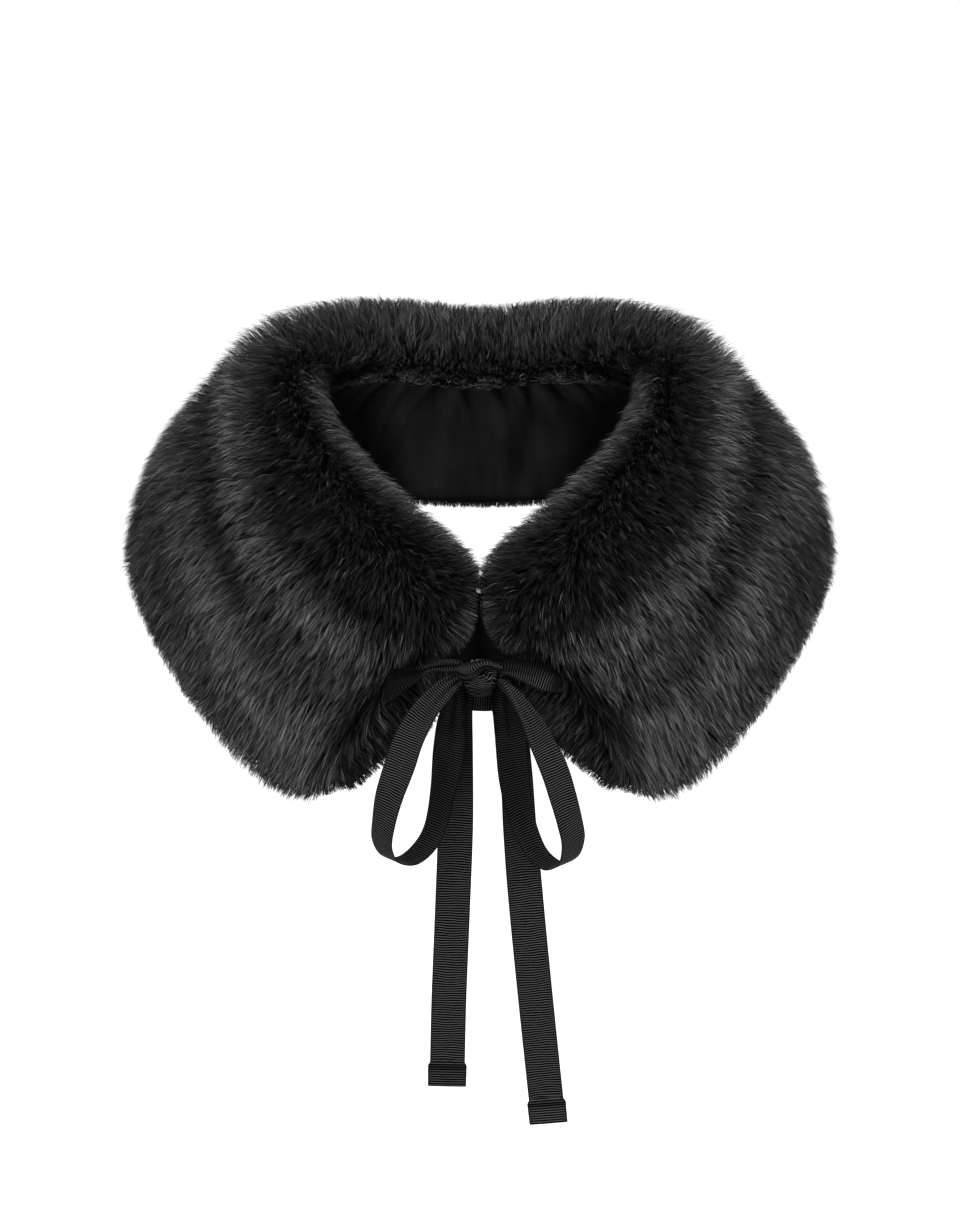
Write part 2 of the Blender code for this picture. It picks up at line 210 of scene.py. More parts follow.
def pinch_at(point):
    """How far the ribbon's pinch draws in each point of the pile."""
    start, end = np.array(PINCH_FROM), np.array(PINCH_TO)
    at = np.stack([np.abs(point[..., 0]), point[..., 2]], -1)
    share = np.clip((at - start) @ (end - start) / (end - start).dot(end - start), 0, 1)
    away = np.linalg.norm(at - start - share[..., None] * (end - start), axis=-1)
    return PINCH_DEPTH * (1 - PINCH_FADE * share) * hump(away, 0, PINCH_HALF_WIDTH)


def surface(u, q, sunk, clear=FIT_GAP / 2):
    """The collar's outside at u (from 0 up) and q, sunk by so many millimetres.

    Past the last section the thickness falls to nothing over one more, a rounded front edge. A front
    stays clear of the centre front by so many millimetres.
    """
    past = np.clip(u - LAST, 0, 1)
    v = np.select([q < -1, q < 0, q < 1, q < 2], [-1 - q, 0 * q, q, 1 + 0 * q], 3 - q)
    middle, out, down, along = frame_at(u, v)
    reach = np.maximum(reach_at(v) - sunk, 1)
    middle = middle + along * (reach * past)[..., None]
    angle = np.pi * (q % 1)[..., None]
    over_neck = -np.cos(angle) * out - np.sin(angle) * down
    round_hem = np.cos(angle) * out + np.sin(angle) * down
    lined = (q < -1) | (q >= 2)
    neck, pile = (q >= -1) & (q < 0), (q >= 0) & (q < 1)
    stretches = [lined[..., None], neck[..., None], pile[..., None]]
    way = np.select(stretches, [-out, over_neck, out], round_hem)
    thick = np.select(
        [lined, neck, pile],
        [half_thickness(v, LINED_SIDE), ROLL_RADIUS + 0 * v, half_thickness(v, PILE_SIDE)],
        HEM_RADIUS,
    )
    point = middle + way * (np.maximum(thick - sunk, 1) * np.sqrt(1 - past**2))[..., None]
    point = point - out * (pinch_at(point)[..., None] * np.maximum(dot(way, out), 0))
    over = np.maximum(clear - point[..., 0], 0)
    over = np.where(u > SHOULDER, over, 0)
    return point - along * (over / np.abs(along[..., 0]))[..., None]


class Grid:
    """Values on a regular grid of (u, q), read between its points."""

    def __init__(self, first, step, values):
        self.first, self.step, self.values = np.array(first), np.array(step), values

    def at(self, u, q):
        """The values there; u counts the same to both sides of the centre back."""
        shape = np.array(self.values.shape[:2])
        place = (np.stack([np.abs(u), q], -1) - self.first) / self.step
        place = np.clip(place, 0, shape - 1.001)
        i, j = place[..., 0].astype(int), place[..., 1].astype(int)
        s, t = (place[..., 0] - i)[..., None], (place[..., 1] - j)[..., None]
        near = self.values[i, j] * (1 - t) + self.values[i, j + 1] * t
        far = self.values[i + 1, j] * (1 - t) + self.values[i + 1, j + 1] * t
        return near * (1 - s) + far * s


# --- Fur ------------------------------------------------------------------------------------------
SEAM = 1 / 12  # the lining's seams lie this share of the width in from the roll's centre and the hem's
GRID_STEP = (0.05, 0.02)
GRID_U = (0.0, LAST + 1.0)
GRID_Q = (-1 - SEAM, 2 + SEAM)
NOSE_END = 86.0  # degrees round the front edge
CROSSED = 0.3  # how far the backings of the two fronts pass the centre front, where the pile hides it

# How deep the pile is rooted under the tips, by q
ROOT_DEPTH = (
    (-1.1, 2.5), (-1, 5), (-0.7, 9), (0, 10), (0.8, 9.5), (1.2, 7.5), (1.5, 4), (1.7, 2.6), (2.1, 2.5),
)

# The band of painted light that runs round the collar inside its outer half, as (u, q). Inside it the pile is
# darkened with painted shade.
LIGHT_BAND = (
    (0.0, 0.20), (3.0, 0.18), (4.3, 0.18), (5.0, 0.23), (5.4, 0.28), (5.8, 0.37), (6.3, 0.43),
    (6.8, 0.45), (7.3, 0.48), (7.8, 0.46), (8.3, 0.42), (10.0, 0.40),
)
# The band of painted shade below it, the broad band of painted light over the hem, and one of painted shade
# at the flanks' foot
DARK_BAND = ((0.0, 0.32), (4.1, 0.31), (4.7, 0.36), (5.3, 0.43), (5.9, 0.52), (6.9, 0.69), (7.5, 0.66))
OUTER_BAND = ((0.0, 0.66), (5.0, 0.62), (5.7, 0.62), (6.0, 0.68), (6.3, 0.78), (6.9, 0.85), (8.4, 0.86))
FOOT_BAND = ((3.6, 0.84), (5.2, 0.80), (6.4, 0.92))
# How much lighter (painted light) or darker (painted shade) each makes the pile, how wide in q, between which
# stations it shows, and its course
BANDS = (
    (1.0, 0.060, (0.5, 7.1), LIGHT_BAND),
    (-0.85, 0.055, (0.5, 7.6), DARK_BAND),
    (0.45, 0.110, (1.0, 8.4), OUTER_BAND),
    (-0.5, 0.060, (3.6, 6.4), FOOT_BAND),
)
BAND_RELIEF = 1.1  # how far the tips stand out on a light band
BAND_FADE = 0.8
INNER_DARK = -1.35  # painted shade inside the light band, over the crest
RIM_LIGHT = 0.45  # painted highlight along the neck edge of the fronts
SEAM_DARK = -1.6  # painted shade at the lining's seam, beside the back of the neck
OUTER_LIGHT = 0.68  # painted light over the lower half of the fronts
EDGE_DARK = -0.85  # painted shade below the tie, at the front edges
MEAN_TONE = 0.12
# Smaller patches of painted light and painted shade: u and q, how far each spreads in both, and how light it
# is
TONE_PATCHES = (
    (9.1, 0.02, 0.45, 0.12, 0.8),
    (7.9, 0.5, 0.7, 0.22, 0.35),
    (3.3, -0.85, 0.6, 0.25, -1.2),
    (0.9, -0.62, 0.5, 0.18, 0.7),
)
# The groove that the ribbon pulls into each front, down from the tie: its station by q
GROOVE = ((0.15, 9.5), (0.3, 8.9), (0.45, 8.4), (0.6, 8.2), (0.9, 8.1))
GROOVE_WIDTH = 0.27
# painted shade along the groove
GROOVE_DARK = -2.1
GROOVE_DEPTH = 3.0

# Where the pile stands fuller than its section says: u and q, how far it spreads in both, and millimetres
FULLER = (
    (3.05, 0.05, 0.5, 0.3, 4.6),
    (3.6, 0.5, 0.5, 0.16, 0.6),
    (4.15, 0.86, 0.35, 0.13, 2.4),
    (9.8, 0.58, 0.4, 0.22, 8.0),
    (0.0, 1.68, 3.2, 0.17, 2.2),
)
# And how much fuller it is round the hem, by u
HEM_FULLER = (
    (3.9, 0), (4.45, 0.6), (4.9, -0.8), (5.25, -1.5), (5.6, -2.3), (6.0, -1.6), (6.45, 0), (6.7, 2.7),
    (7.0, 3.7), (7.35, 5.0), (7.75, 3.6), (8.35, 4.0), (8.7, 1.5), (9.3, -1.0), (10.0, -2.0),
)
HEM_MIDDLE = 1.2
HEM_SPREAD = 0.45


def rounded(a):
    """Station a as u: past the last section it runs round the front edge."""
    return np.where(a < LAST, a, LAST + np.sin(np.radians(NOSE_END * np.clip(a - LAST, 0, 1))))


def by_table(rows, x):
    """The second column, read between the rows of the first."""
    table = np.array(rows, float)
    return np.interp(x, table[:, 0], table[:, 1])


def patches(rows, a, q):
    """The sum of soft patches: u and q, how far each spreads in both, and how much of it there is."""
    return sum(much * hump(a, u, wide) * hump(q, at, high) for u, at, wide, high, much in rows)


def banding(a, q):
    """How light, from about 1, or dark, to about -1, the bands' painted light and shade make the pile."""
    total = 0
    for strength, width, (first, last), course in BANDS:
        shown = rising(a, first - BAND_FADE, BAND_FADE) * falling(a, last + BAND_FADE, BAND_FADE)
        total = total + strength * shown * hump(q, by_table(course, a), width)
    return total


def groove(a, q):
    """1 along the middle of the groove, and 0 off it."""
    return hump(a, by_table(GROOVE, q), GROOVE_WIDTH) * rising(q, 0.25, 0.1) * falling(q, 0.95, 0.2)


def shading(a, q):
    """The pile's tone, from dark, below 0, to light, with painted light and shade in its bands, zones,
    patches and groove.
    """
    inside = falling(q, by_table(LIGHT_BAND, a) - 0.07, 0.09) * rising(q, -0.3, 0.26)
    inside = inside * rising(a, 3.3, 1.2) * (1 - 0.75 * rising(a, 8.7, 0.6))
    rim = hump(q, -0.29, 0.12) * rising(a, 4.4, 0.6) * falling(a, 8.0, 1.2)
    seam = falling(q, -0.82, 0.1) * rising(a, 1.1, 0.8)
    outer = rising(a, 5.2, 0.8) * falling(a, 8.3, 0.4) * rising(q, 0.45, 0.25)
    edge = rising(a, 8.4, 0.4) * rising(q, 0.35, 0.2)
    tone = MEAN_TONE + banding(a, q) + patches(TONE_PATCHES, a, q) + GROOVE_DARK * groove(a, q)
    tone = tone + INNER_DARK * inside + RIM_LIGHT * rim
    return tone + SEAM_DARK * seam + OUTER_LIGHT * outer + EDGE_DARK * edge


def fullness(a, q):
    """How far the tips stand out past the section."""
    hem = by_table(HEM_FULLER, a) * hump(q, HEM_MIDDLE, HEM_SPREAD)
    return patches(FULLER, a, q) + hem + BAND_RELIEF * banding(a, q) - GROOVE_DEPTH * groove(a, q)


def rooted_at(a, q):
    """How deep the pile is rooted: less near the lower front edge, where the panel is thin."""
    lower = rising(q, 0.2, 0.15)
    deep = by_table(ROOT_DEPTH, q) * (1 - 0.65 * rising(a, 8.9, 0.5) * lower)
    deep = np.maximum(deep - 3.0 * rising(a, 9.2, 0.4) * lower * falling(q, 1.3, 0.2), 0.4)
    deep = deep * (1 - 0.3 * falling(a, 3.4, 0.8) * rising(q, -0.8, 0.2))
    return deep - fullness(a, q) * rising(a, 9.0, 0.5) * rising(q, 0.15, 0.15)


def tips(a, q):
    """Where the pile ends."""
    return surface(rounded(a), q, -fullness(a, q))


def roots(a, q):
    """Where it grows from."""
    return surface(rounded(a), q, rooted_at(a, q), -CROSSED)


def ahead(a, q):
    """The way along the collar, to its front edge."""
    return frame_at(np.minimum(a, LAST), np.clip(q, 0, 1))[3]


def all_over(values_at):
    """A Grid of what a function says all over the skin."""
    a = np.arange(GRID_U[0], GRID_U[1] + 1e-9, GRID_STEP[0])
    q = np.arange(GRID_Q[0], GRID_Q[1] + GRID_STEP[1], GRID_STEP[1])
    return Grid((GRID_U[0], GRID_Q[0]), GRID_STEP, values_at(*np.meshgrid(a, q, indexing="ij")))


TIPS, ROOTS, AHEAD = (all_over(values_at) for values_at in (tips, roots, ahead))
# Millimetres to a step of u, and of q, along the tips
ALONG, DOWN = (Grid(TIPS.first, TIPS.step, np.gradient(TIPS.values, axis=k) / GRID_STEP[k]) for k in (0, 1))
OUTWARD = Grid(TIPS.first, TIPS.step, unit(np.cross(ALONG.values, DOWN.values)))

# The crest, where the lie of the pile turns: its q by u
CREST = ((0, -0.62), (2.5, -0.55), (4, -0.3), (5, -0.08), (6.3, 0.0), (7.2, 0.05), (8.4, 0.085), (10, 0.12))
# The way the pile lies below the crest, below the tie, and above the crest, by u, in degrees from the
# way to the hem towards the front edge
LIE_BELOW = ((0, 0), (3, -6), (4.5, -5), (6, 2), (7, 12), (8, 30), (8.7, 42), (9.3, 52), (10, 55))
LIE_LOW = ((6, 0), (7, 8), (8.0, 3), (8.25, 15), (8.5, 60), (9.0, 75), (10, 80))
LOW_FROM = 6  # the station from which the tie changes it
LIE_ABOVE = ((0, 0), (2, 12), (3, 35), (4, 80), (5, 125), (6, 135), (8, 125), (9, 110), (10, 100))
CREST_WIDTH = 34.0  # over how many millimetres the lie turns from the one to the other
CREST_WANDER = 2.5  # how far a lock may take itself to be from where it is, across the crest
BACK_SWAY = 16.0  # degrees that the pile sways to either side over the back of the neck
# How far a strand lies over, by q: less at the seam, and round the hem
FROM_SEAM = ((-1.08, 0.45), (-0.85, 1))
ROUND_HEM = ((0.95, 1), (1.2, 0.6), (1.6, 0), (2.0, -0.35))
NECK_ARC = math.pi * ROLL_RADIUS  # the length of q from -1 to 0
PILE_ARC = 122.0  # and about that of q from 0 to 1
STATION = 52.0  # and about that of a step of u
WAVES = 5  # in a smooth uneven field
WAVES_HEIGHT = 2.2  # how high so many waves add up to

STRAND_LAY = 12.0  # how far a strand's tip lies from its root, along the skin
LAY_SPREAD = 0.15  # how unevenly, as a share
HEIGHT_SPREAD = 0.08  # and how unevenly the locks stand up
LOCK_STRANDS = 4
LOCK_SPREAD = 0.6  # how far the strands of a lock are rooted from its middle
LOCK_CLOSING = 0.2  # how much of that is left at their tips
LOOSENESS = 0.45
LOCK_TONES = 0.5
STRAND_TONES = 0.85
TALL_LOCKS = 0.4  # the share of locks that stand out from the rest, and how far at the least and most
TALL_HEIGHT = (0.05, 0.22)
SHORTEST = 0.4  # how much lower the lowest strands are
SHORTEST_LAY = 0.3  # and how much less far they reach
SHOWN = 0.6  # how far along a strand its tone is seen
LONG_TIPS = 0.8  # how much longer the pile is at the lowest points of the hem
BRISTLE = ((3.6, 0.05, 1.3, 0.5, 0.3),)  # how much more upright it is over the shoulders' tops
STRAND_WIDTH = 0.265
BEND = (0.0, 0.5, 1.0)  # how much of the lay is covered at each of a strand's points
RISE = (0.0, 0.78, 1.0)  # and how much of its height
TAPER = (1.0, 0.8)
TWIST = 1.0  # how far, in radians, a strand's face turns from the way out
TONE_RANGE = 6.0  # the step in tone that takes a strand's colour from the darkest to the lightest
TONE_ACROSS = 0.004  # half the width of a strand in its map
FLYAWAY = 0.06  # the share of single strands that stand out, and how far at the least and most
FLYAWAY_HEIGHT = (0.05, 0.25)
GUARD = 0.12  # the share of lighter, broader strands
GUARD_TONE = 1.1
GUARD_WIDTH = 0.3
HEM_FOLLOW = 1.22  # past this q a strand goes straight on and doesn't follow the hem round
UNDER_HEM = 1.4  # and one that is rooted past this follows it
# How far it goes straight on at the most, by u
OVERHANG = ((0, 8), (5.2, 8), (6, 5), (6.9, 8), (7.4, 12), (7.9, 16), (8.6, 14), (9.2, 5), (10, 2))
EDGE_FOLLOW = 9.35  # past this station it goes straight on and doesn't follow the front edge round
EDGE_OVERHANG = ((0.25, 10.0), (0.4, 5.5))  # and at the most this far, by q
# Past this q, by u, a strand goes straight on over the neck, at the most so far
NECK_FOLLOW = (
    (3.6, -1.0), (4.0, -0.65), (4.4, -0.56), (5.0, -0.48), (5.5, -0.42), (6.0, -0.38), (10.0, -0.33),
)
NECK_OVERHANG = 4.0
LEAST_RATE = 12.0  # millimetres to a step of u or q, where the surface closes up
LEAST_APART = 0.6  # no strand grows nearer than this to the centre front, where the fronts touch

# The ground that the pile leaves bare in front, over the ribbon and up the parting: its top and its foot,
# as the distance from the centre front and the height
BARE_TOP = (
    (0, -58), (0.6, -61), (0.9, -71), (1.3, -78), (2.0, -82), (3.6, -85.5), (5.6, -88.5), (8, -91.5),
    (13, -94), (20, -96), (31, -97.5), (37, -100), (41, -103),
)
BARE_FOOT = ((0, -125), (10, -112), (16, -103), (28, -104), (41, -106))
BARE_FRONT = -90.0  # in front of this
LOCK_UNSURE = 1.2  # how unevenly the locks, and the strands in them, keep off it
STRAND_UNSURE = 1.5
SHORTENED = np.linspace(0.94, 0.1, 15)  # the shares that a strand over it is tried at
LEAST_SHOWN = 0.35  # strands left shorter than this share are left out


def sided(vectors, a):
    """The vectors, mirrored where a is below 0, on the wearer's right."""
    return vectors * np.stack([np.where(a < 0, -1, 1), np.ones(a.shape), np.ones(a.shape)], -1)


def crest_distance(a, q):
    """Millimetres from the crest, down the pile."""
    down, crest = (np.where(at < 0, NECK_ARC, PILE_ARC) * at for at in (q, by_table(CREST, np.abs(a))))
    return down - crest


def wander(rng, a, q, scale, strength):
    """A smooth uneven field over the skin, from a few waves."""
    total = np.zeros_like(a)
    for _ in range(WAVES):
        heading = rng.uniform(0, 2 * math.pi)
        phase = rng.uniform(0, 2 * math.pi)
        rate = 2 * math.pi / (scale * rng.uniform(0.7, 1.5))
        total += np.sin(rate * (STATION * a * math.cos(heading) + PILE_ARC * q * math.sin(heading)) + phase)
    return strength * total / WAVES_HEIGHT


def lock_places(rng, count, a_range, q_range):
    """So many random places on the skin, even by its area, clear of where the two fronts touch."""
    places = np.zeros((0, 2))
    while len(places) < count:
        a = rng.uniform(*a_range, count * 4)
        q = rng.uniform(*q_range, count * 4)
        area = np.linalg.norm(np.cross(ALONG.at(a, q), DOWN.at(a, q)), axis=-1)
        free = (np.abs(a) < SHOULDER) | (np.abs(TIPS.at(a, q)[:, 0]) > LEAST_APART)
        kept = rng.uniform(0, area.max(), len(a)) < area * free
        places = np.concatenate([places, np.stack([a, q], 1)[kept]])
    return places[:count]


def lie_of(rng, past, a, q):
    """The way each lock lies, in radians from the way to the hem to larger a."""
    side, front = np.where(a < 0, -1, 1), np.abs(a)
    below = smooth(past / CREST_WIDTH + 0.5)
    low = rising(q, 0.3, 0.15) * (front > LOW_FROM)
    lie_below = low * by_table(LIE_LOW, front) + (1 - low) * by_table(LIE_BELOW, front)
    lie = side * (below * lie_below + (1 - below) * by_table(LIE_ABOVE, front))
    # It wanders in broad patches and in tufts, twice as far along the crest
    messy = 1 + hump(past, 0, 14) * rising(front, 3, 2)
    lie = lie + messy * (wander(rng, a, q, 42, 5) + wander(rng, a, q, 13, 4) + rng.normal(0, 6, len(a)))
    # And it's more uneven over the back and at the fronts' neck edge
    lie = lie + rng.normal(0, 9, len(a)) * falling(front, 3.2, 0.8)
    lie = lie + rng.normal(0, 11, len(a)) * falling(q, -0.12, 0.15) * rising(front, 3.6, 0.5)
    lie = lie + wander(rng, a, q, 30, BACK_SWAY) * falling(front, 3.4, 0.8) * falling(q, -0.1, 0.3)
    return np.radians(lie)


def lay_of(past, a, q):
    """How far each lock lies over, as a share of the usual."""
    front = np.abs(a)
    # Less at the crest, at the front edges below the tie and over the shoulders' tops, more at the hem
    over = 1 - 0.3 * hump(past, 0, 10) * rising(front, 3, 1.5)
    over = over * (1 + LONG_TIPS * hump(front, 8.2, 0.7) * rising(q, 0.6, 0.3))
    over = over * (1 - 0.3 * rising(front, 8.5, 0.4) * rising(q, 0.3, 0.15))
    over = over * (1 + 0.05 * rising(front, 3.7, 0.7) * rising(q, 0.25, 0.2) * falling(front, 8.4, 0.5))
    over = over * (1 - 0.45 * hump(front, 3.3, 1.0) * hump(q, 0.1, 0.4))
    return over * by_table(ROUND_HEM, q) * by_table(FROM_SEAM, q)


def rates(a, q):
    """Millimetres to a step of u and of q."""
    return [np.maximum(np.linalg.norm(grid.at(a, q), axis=-1), LEAST_RATE) for grid in (ALONG, DOWN)]


def straight_on(gone, most):
    """How far a strand goes straight on, at the most so far, where it leaves the skin."""
    return most * (1 - np.exp(-np.maximum(gone, 0) / most))


def strand_point(at, start, rise, height):
    """A strand's point over the skin at (a, q), at a share rise of its height."""
    (a, q), (first_a, first_q) = at.T, start.T
    a_rate, q_rate = rates(a, q)
    stop = np.where(first_q > UNDER_HEM, 3.0, np.maximum(HEM_FOLLOW, first_q + 0.1))
    turned = np.minimum(by_table(NECK_FOLLOW, np.abs(a)), first_q - 0.06)
    past = straight_on((q - stop) * q_rate, by_table(OVERHANG, np.abs(a)))
    before = straight_on((turned - q) * q_rate, NECK_OVERHANG)
    q = np.clip(q, turned, stop)
    edge = np.maximum(EDGE_FOLLOW, first_a + 0.02)
    over = straight_on((a - edge) * a_rate, by_table(EDGE_OVERHANG, q))
    a = np.minimum(a, edge)
    root, tip = ROOTS.at(a, q), TIPS.at(a, q)
    way = unit(DOWN.at(a, q)) * (past - before)[:, None] + AHEAD.at(a, q) * over[:, None]
    return sided(root + (tip - root) * (rise * height)[:, None] + way, a)


def kept_off_bare(points, unsure):
    """The strands, shortened to end short of the bare ground in front, and which are long enough to show."""
    root, middle, tip = points[:, 0], points[:, 1], points[:, 2]

    def along(share):
        """The points on the curves through root, middle and tip, at a share of each."""
        t = share[:, None]
        return root * (1 - t) * (1 - 2 * t) + middle * 4 * t * (1 - t) + tip * t * (2 * t - 1)

    left = np.ones(len(points))
    for shorter in SHORTENED:
        at = along(left)
        beside, down = np.maximum(at[:, 0] + 0.4 * unsure, 0), at[:, 2] - unsure
        over = (down < by_table(BARE_TOP, beside)) & (down > by_table(BARE_FOOT, beside))
        over &= (beside < BARE_TOP[-1][0]) & (at[:, 1] < BARE_FRONT)
        left = np.where(over, shorter, left)
    return np.stack([root, along(left / 2), along(left)], 1), left > LEAST_SHOWN


def strands(rng, count, a_range, q_range):
    """So many strands: their points (strand, point, xyz), their faces' way out, tones and widths."""
    locks = lock_places(rng, count // LOCK_STRANDS, a_range, q_range)
    m = len(locks)
    past = crest_distance(*locks.T) + rng.normal(0, CREST_WANDER, m)
    lie = lie_of(rng, past, *locks.T)
    lay = STRAND_LAY * lay_of(past, *locks.T) * rng.normal(1, LAY_SPREAD, m)
    rate = np.stack(rates(*locks.T), 1)
    lean = np.stack([np.sin(lie), np.cos(lie)], 1) * lay[:, None]
    shown = (locks + SHOWN * lean / rate).T
    tone = rng.normal(0, LOCK_TONES, m) + wander(rng, *locks.T, 20, 0.15)
    # The pile's painted light and shade, read where the strand's tone is seen
    tone = tone + shading(np.abs(shown[0]), shown[1])
    front = np.abs(locks[:, 0])
    bristle = patches(BRISTLE, front, locks[:, 1])
    tall = rng.normal(1, HEIGHT_SPREAD, m) + 0.3 * bristle * rng.uniform(0, 1, m)
    stands = rng.uniform(0, 1, m) < TALL_LOCKS
    tall += stands * rng.uniform(*TALL_HEIGHT, m) * (0.5 + 0.5 * rising(front, 3, 1.5))
    unsure = rng.normal(0, LOCK_UNSURE, m)
    which = np.repeat(np.arange(m), LOCK_STRANDS)
    n = len(which)
    spread = rng.normal(0, LOCK_SPREAD, (n, 2))
    closing = (LOCK_CLOSING * rng.uniform(0.6, 1.4, n))[:, None]
    start = locks[which] + spread / rate[which]
    start[:, 1] = np.clip(start[:, 1], *GRID_Q)
    loose = rng.normal(0, LOOSENESS, (n, 2))
    lean = lean[which] * (1 - 0.45 * bristle[which] * rng.uniform(0, 1, n))[:, None]
    end = locks[which] + (lean + spread * closing + loose) / rate[which]
    short = rng.uniform(0, 1, n) ** 2
    height = tall[which] * (1.06 - SHORTEST * short) + rng.normal(0, 0.04, n)
    height += (rng.uniform(0, 1, n) < FLYAWAY) * rng.uniform(*FLYAWAY_HEIGHT, n)
    way = (end - start) * (1 - SHORTEST_LAY * short)[:, None]
    points = [strand_point(start + way * bend, start, rise, height) for bend, rise in zip(BEND, RISE)]
    unsure = unsure[which] + rng.normal(0, STRAND_UNSURE, n)
    points, long_enough = kept_off_bare(np.stack(points, 1), unsure)
    guard = rng.uniform(0, 1, n) < GUARD
    tone = tone[which] + rng.normal(0, STRAND_TONES, n) + GUARD_TONE * guard
    width = STRAND_WIDTH * rng.uniform(0.6, 1.3, n) * (1 + GUARD_WIDTH * guard)
    made = points, sided(OUTWARD.at(*start.T), start[:, 0]), tone, width
    return [values[long_enough] for values in made]


def blades(name, points, facing, tone, width, rng, side):
    """Flat tapering blades along the strands, in one mesh, mirrored where side is below 0.

    Their map holds (tone, root to tip).
    """
    n, levels = points.shape[:2]
    points, facing = clear_of_ties(sided(points, side[:, None])), sided(facing, side)
    course = np.gradient(points, axis=1)
    flat = unit(np.cross(course, facing[:, None, :]))
    out = unit(np.cross(flat, course))
    roll = rng.uniform(-TWIST, TWIST, n)[:, None, None]
    taper = np.interp(np.linspace(0, 1, levels)[:-1], np.linspace(0, 0.5, len(TAPER)), TAPER)
    half = flat * np.cos(roll) + out * np.sin(roll)
    half = half[:, :-1] * width[:, None, None] * taper[None, :, None] / 2
    pairs = np.stack([points[:, :-1] - half, points[:, :-1] + half], 2)
    verts = np.concatenate([pairs.reshape(n, -1, 3), points[:, -1:]], 1)
    count = verts.shape[1]
    quads = [(2 * k, 2 * k + 1, 2 * k + 3, 2 * k + 2) for k in range(levels - 2)]
    loops = np.array([i for quad in quads for i in quad] + [count - 3, count - 2, count - 1])
    loops = (np.arange(n)[:, None] * count + loops[None, :]).astype(np.int32)
    first = np.arange(0, 4 * len(quads) + 1, 4)
    starts = np.arange(n)[:, None] * loops.shape[1] + first[None, :]
    share = np.repeat(np.arange(levels), 2)[:-1] / (levels - 1)
    across = np.array([-1, 1] * (levels - 1) + [0]) * TONE_ACROSS
    at = np.clip(0.5 + tone / TONE_RANGE, 0.01, 0.99)
    maps = np.stack([at[:, None] + across[None, :], 0.02 + 0.96 * np.broadcast_to(share, (n, count))], -1)
    mesh = bpy.data.meshes.new(name)
    mesh.vertices.add(n * count)
    mesh.vertices.foreach_set("co", (verts * MM).astype(np.float32).ravel())
    mesh.loops.add(loops.size)
    mesh.loops.foreach_set("vertex_index", loops.ravel())
    mesh.polygons.add(starts.size)
    mesh.polygons.foreach_set("loop_start", starts.astype(np.int32).ravel())
    mesh.update(calc_edges=True)
    mesh.shade_smooth()
    put_map(mesh, "OFBake", maps.reshape(-1, 2))
    return mesh_in_scene(mesh, PILE)


# --- Materials ------------------------------------------------------------------------------------
def node_material(name, roughness, specular):
    """A new material of one roughness and shine, its node tree and its shader's inputs."""
    material = bpy.data.materials.new(name)
    material.use_nodes = True
    shader = material.node_tree.nodes["Principled BSDF"]
    shader.inputs["Roughness"].default_value = roughness
    shader.inputs["Specular IOR Level"].default_value = specular
    return material, material.node_tree, shader.inputs


def toned(tree, value, *stops):
    """The grey of a value, by stops: (place, grey)."""
    node = tree.nodes.new("ShaderNodeValToRGB")
    while len(node.color_ramp.elements) < len(stops):
        node.color_ramp.elements.new(0.5)
    for element, (place, grey) in zip(node.color_ramp.elements, stops):
        element.position = place
        element.color = (grey, grey, grey, 1)
    tree.links.new(value, node.inputs["Fac"])
    return node.outputs["Color"]


def maths(tree, operation, *values):
    """A Math node on numbers or outputs, and its output."""
    node = tree.nodes.new("ShaderNodeMath")
    node.operation = operation
    for socket, value in zip(node.inputs, values):
        if isinstance(value, (int, float)):
            socket.default_value = value
        else:
            tree.links.new(value, socket)
    return node.outputs["Value"]


def waving(tree, operation, turn, high=0.5):
    """The sine or cosine of an output, from 0 up to twice high."""
    return maths(tree, "MULTIPLY_ADD", maths(tree, operation, turn), high, high)


def weighted(tree, *parts):
    """The sum of outputs, each times its weight."""
    terms = [maths(tree, "MULTIPLY", *part) for part in parts]
    return functools.reduce(functools.partial(maths, tree, "ADD"), terms)


def map_parts(tree, name):
    """A UV map, and its two coordinates."""
    at = tree.nodes.new("ShaderNodeUVMap")
    at.uv_map = name
    parts = tree.nodes.new("ShaderNodeSeparateXYZ")
    tree.links.new(at.outputs["UV"], parts.inputs["Vector"])
    return at.outputs["UV"], parts.outputs["X"], parts.outputs["Y"]


def noise(tree, scale, detail, at=None):
    """Noise over a vector, or over the object itself."""
    node = tree.nodes.new("ShaderNodeTexNoise")
    node.inputs["Scale"].default_value = scale
    node.inputs["Detail"].default_value = detail
    if at is not None:
        tree.links.new(at, node.inputs["Vector"])
    return node.outputs["Fac"]


def multiplied(tree, *colours):
    """The colours' product."""
    product = colours[0]
    for colour in colours[1:]:
        node = tree.nodes.new("ShaderNodeMix")
        node.data_type = "RGBA"
        node.blend_type = "MULTIPLY"
        node.inputs["Factor"].default_value = 1
        tree.links.new(product, node.inputs["A"])
        tree.links.new(colour, node.inputs["B"])
        product = node.outputs["Result"]
    return product


def finished(tree, shader, colour, height=None, strength=0, distance=0):
    """Links the colour to the shader, and the bumps of a height."""
    tree.links.new(colour, shader["Base Color"])
    if height is not None:
        bump = tree.nodes.new("ShaderNodeBump")
        bump.inputs["Strength"].default_value = strength
        bump.inputs["Distance"].default_value = distance
        tree.links.new(height, bump.inputs["Height"])
        tree.links.new(bump.outputs["Normal"], shader["Normal"])


def fur_material():
    """Pile: painted shade darkens it at its roots and painted light lightens its tips, each strand with its
    own tone.
    """
    material, tree, shader = node_material("pile", 0.5, 0.03)
    _, tone, length = map_parts(tree, "OFBake")
    greys = (0.0, 0.001), (0.16, 0.0026), (0.33, 0.007), (0.5, 0.017), (0.68, 0.044), (0.86, 0.12), (1.0, 0.2)
    # Painted shade deep at the roots, and painted light at the tips
    to_tip = (0.0, 0.2), (0.5, 0.7), (1.0, 1.3)
    finished(tree, shader, multiplied(tree, toned(tree, tone, *greys), toned(tree, length, *to_tip)))
    return material


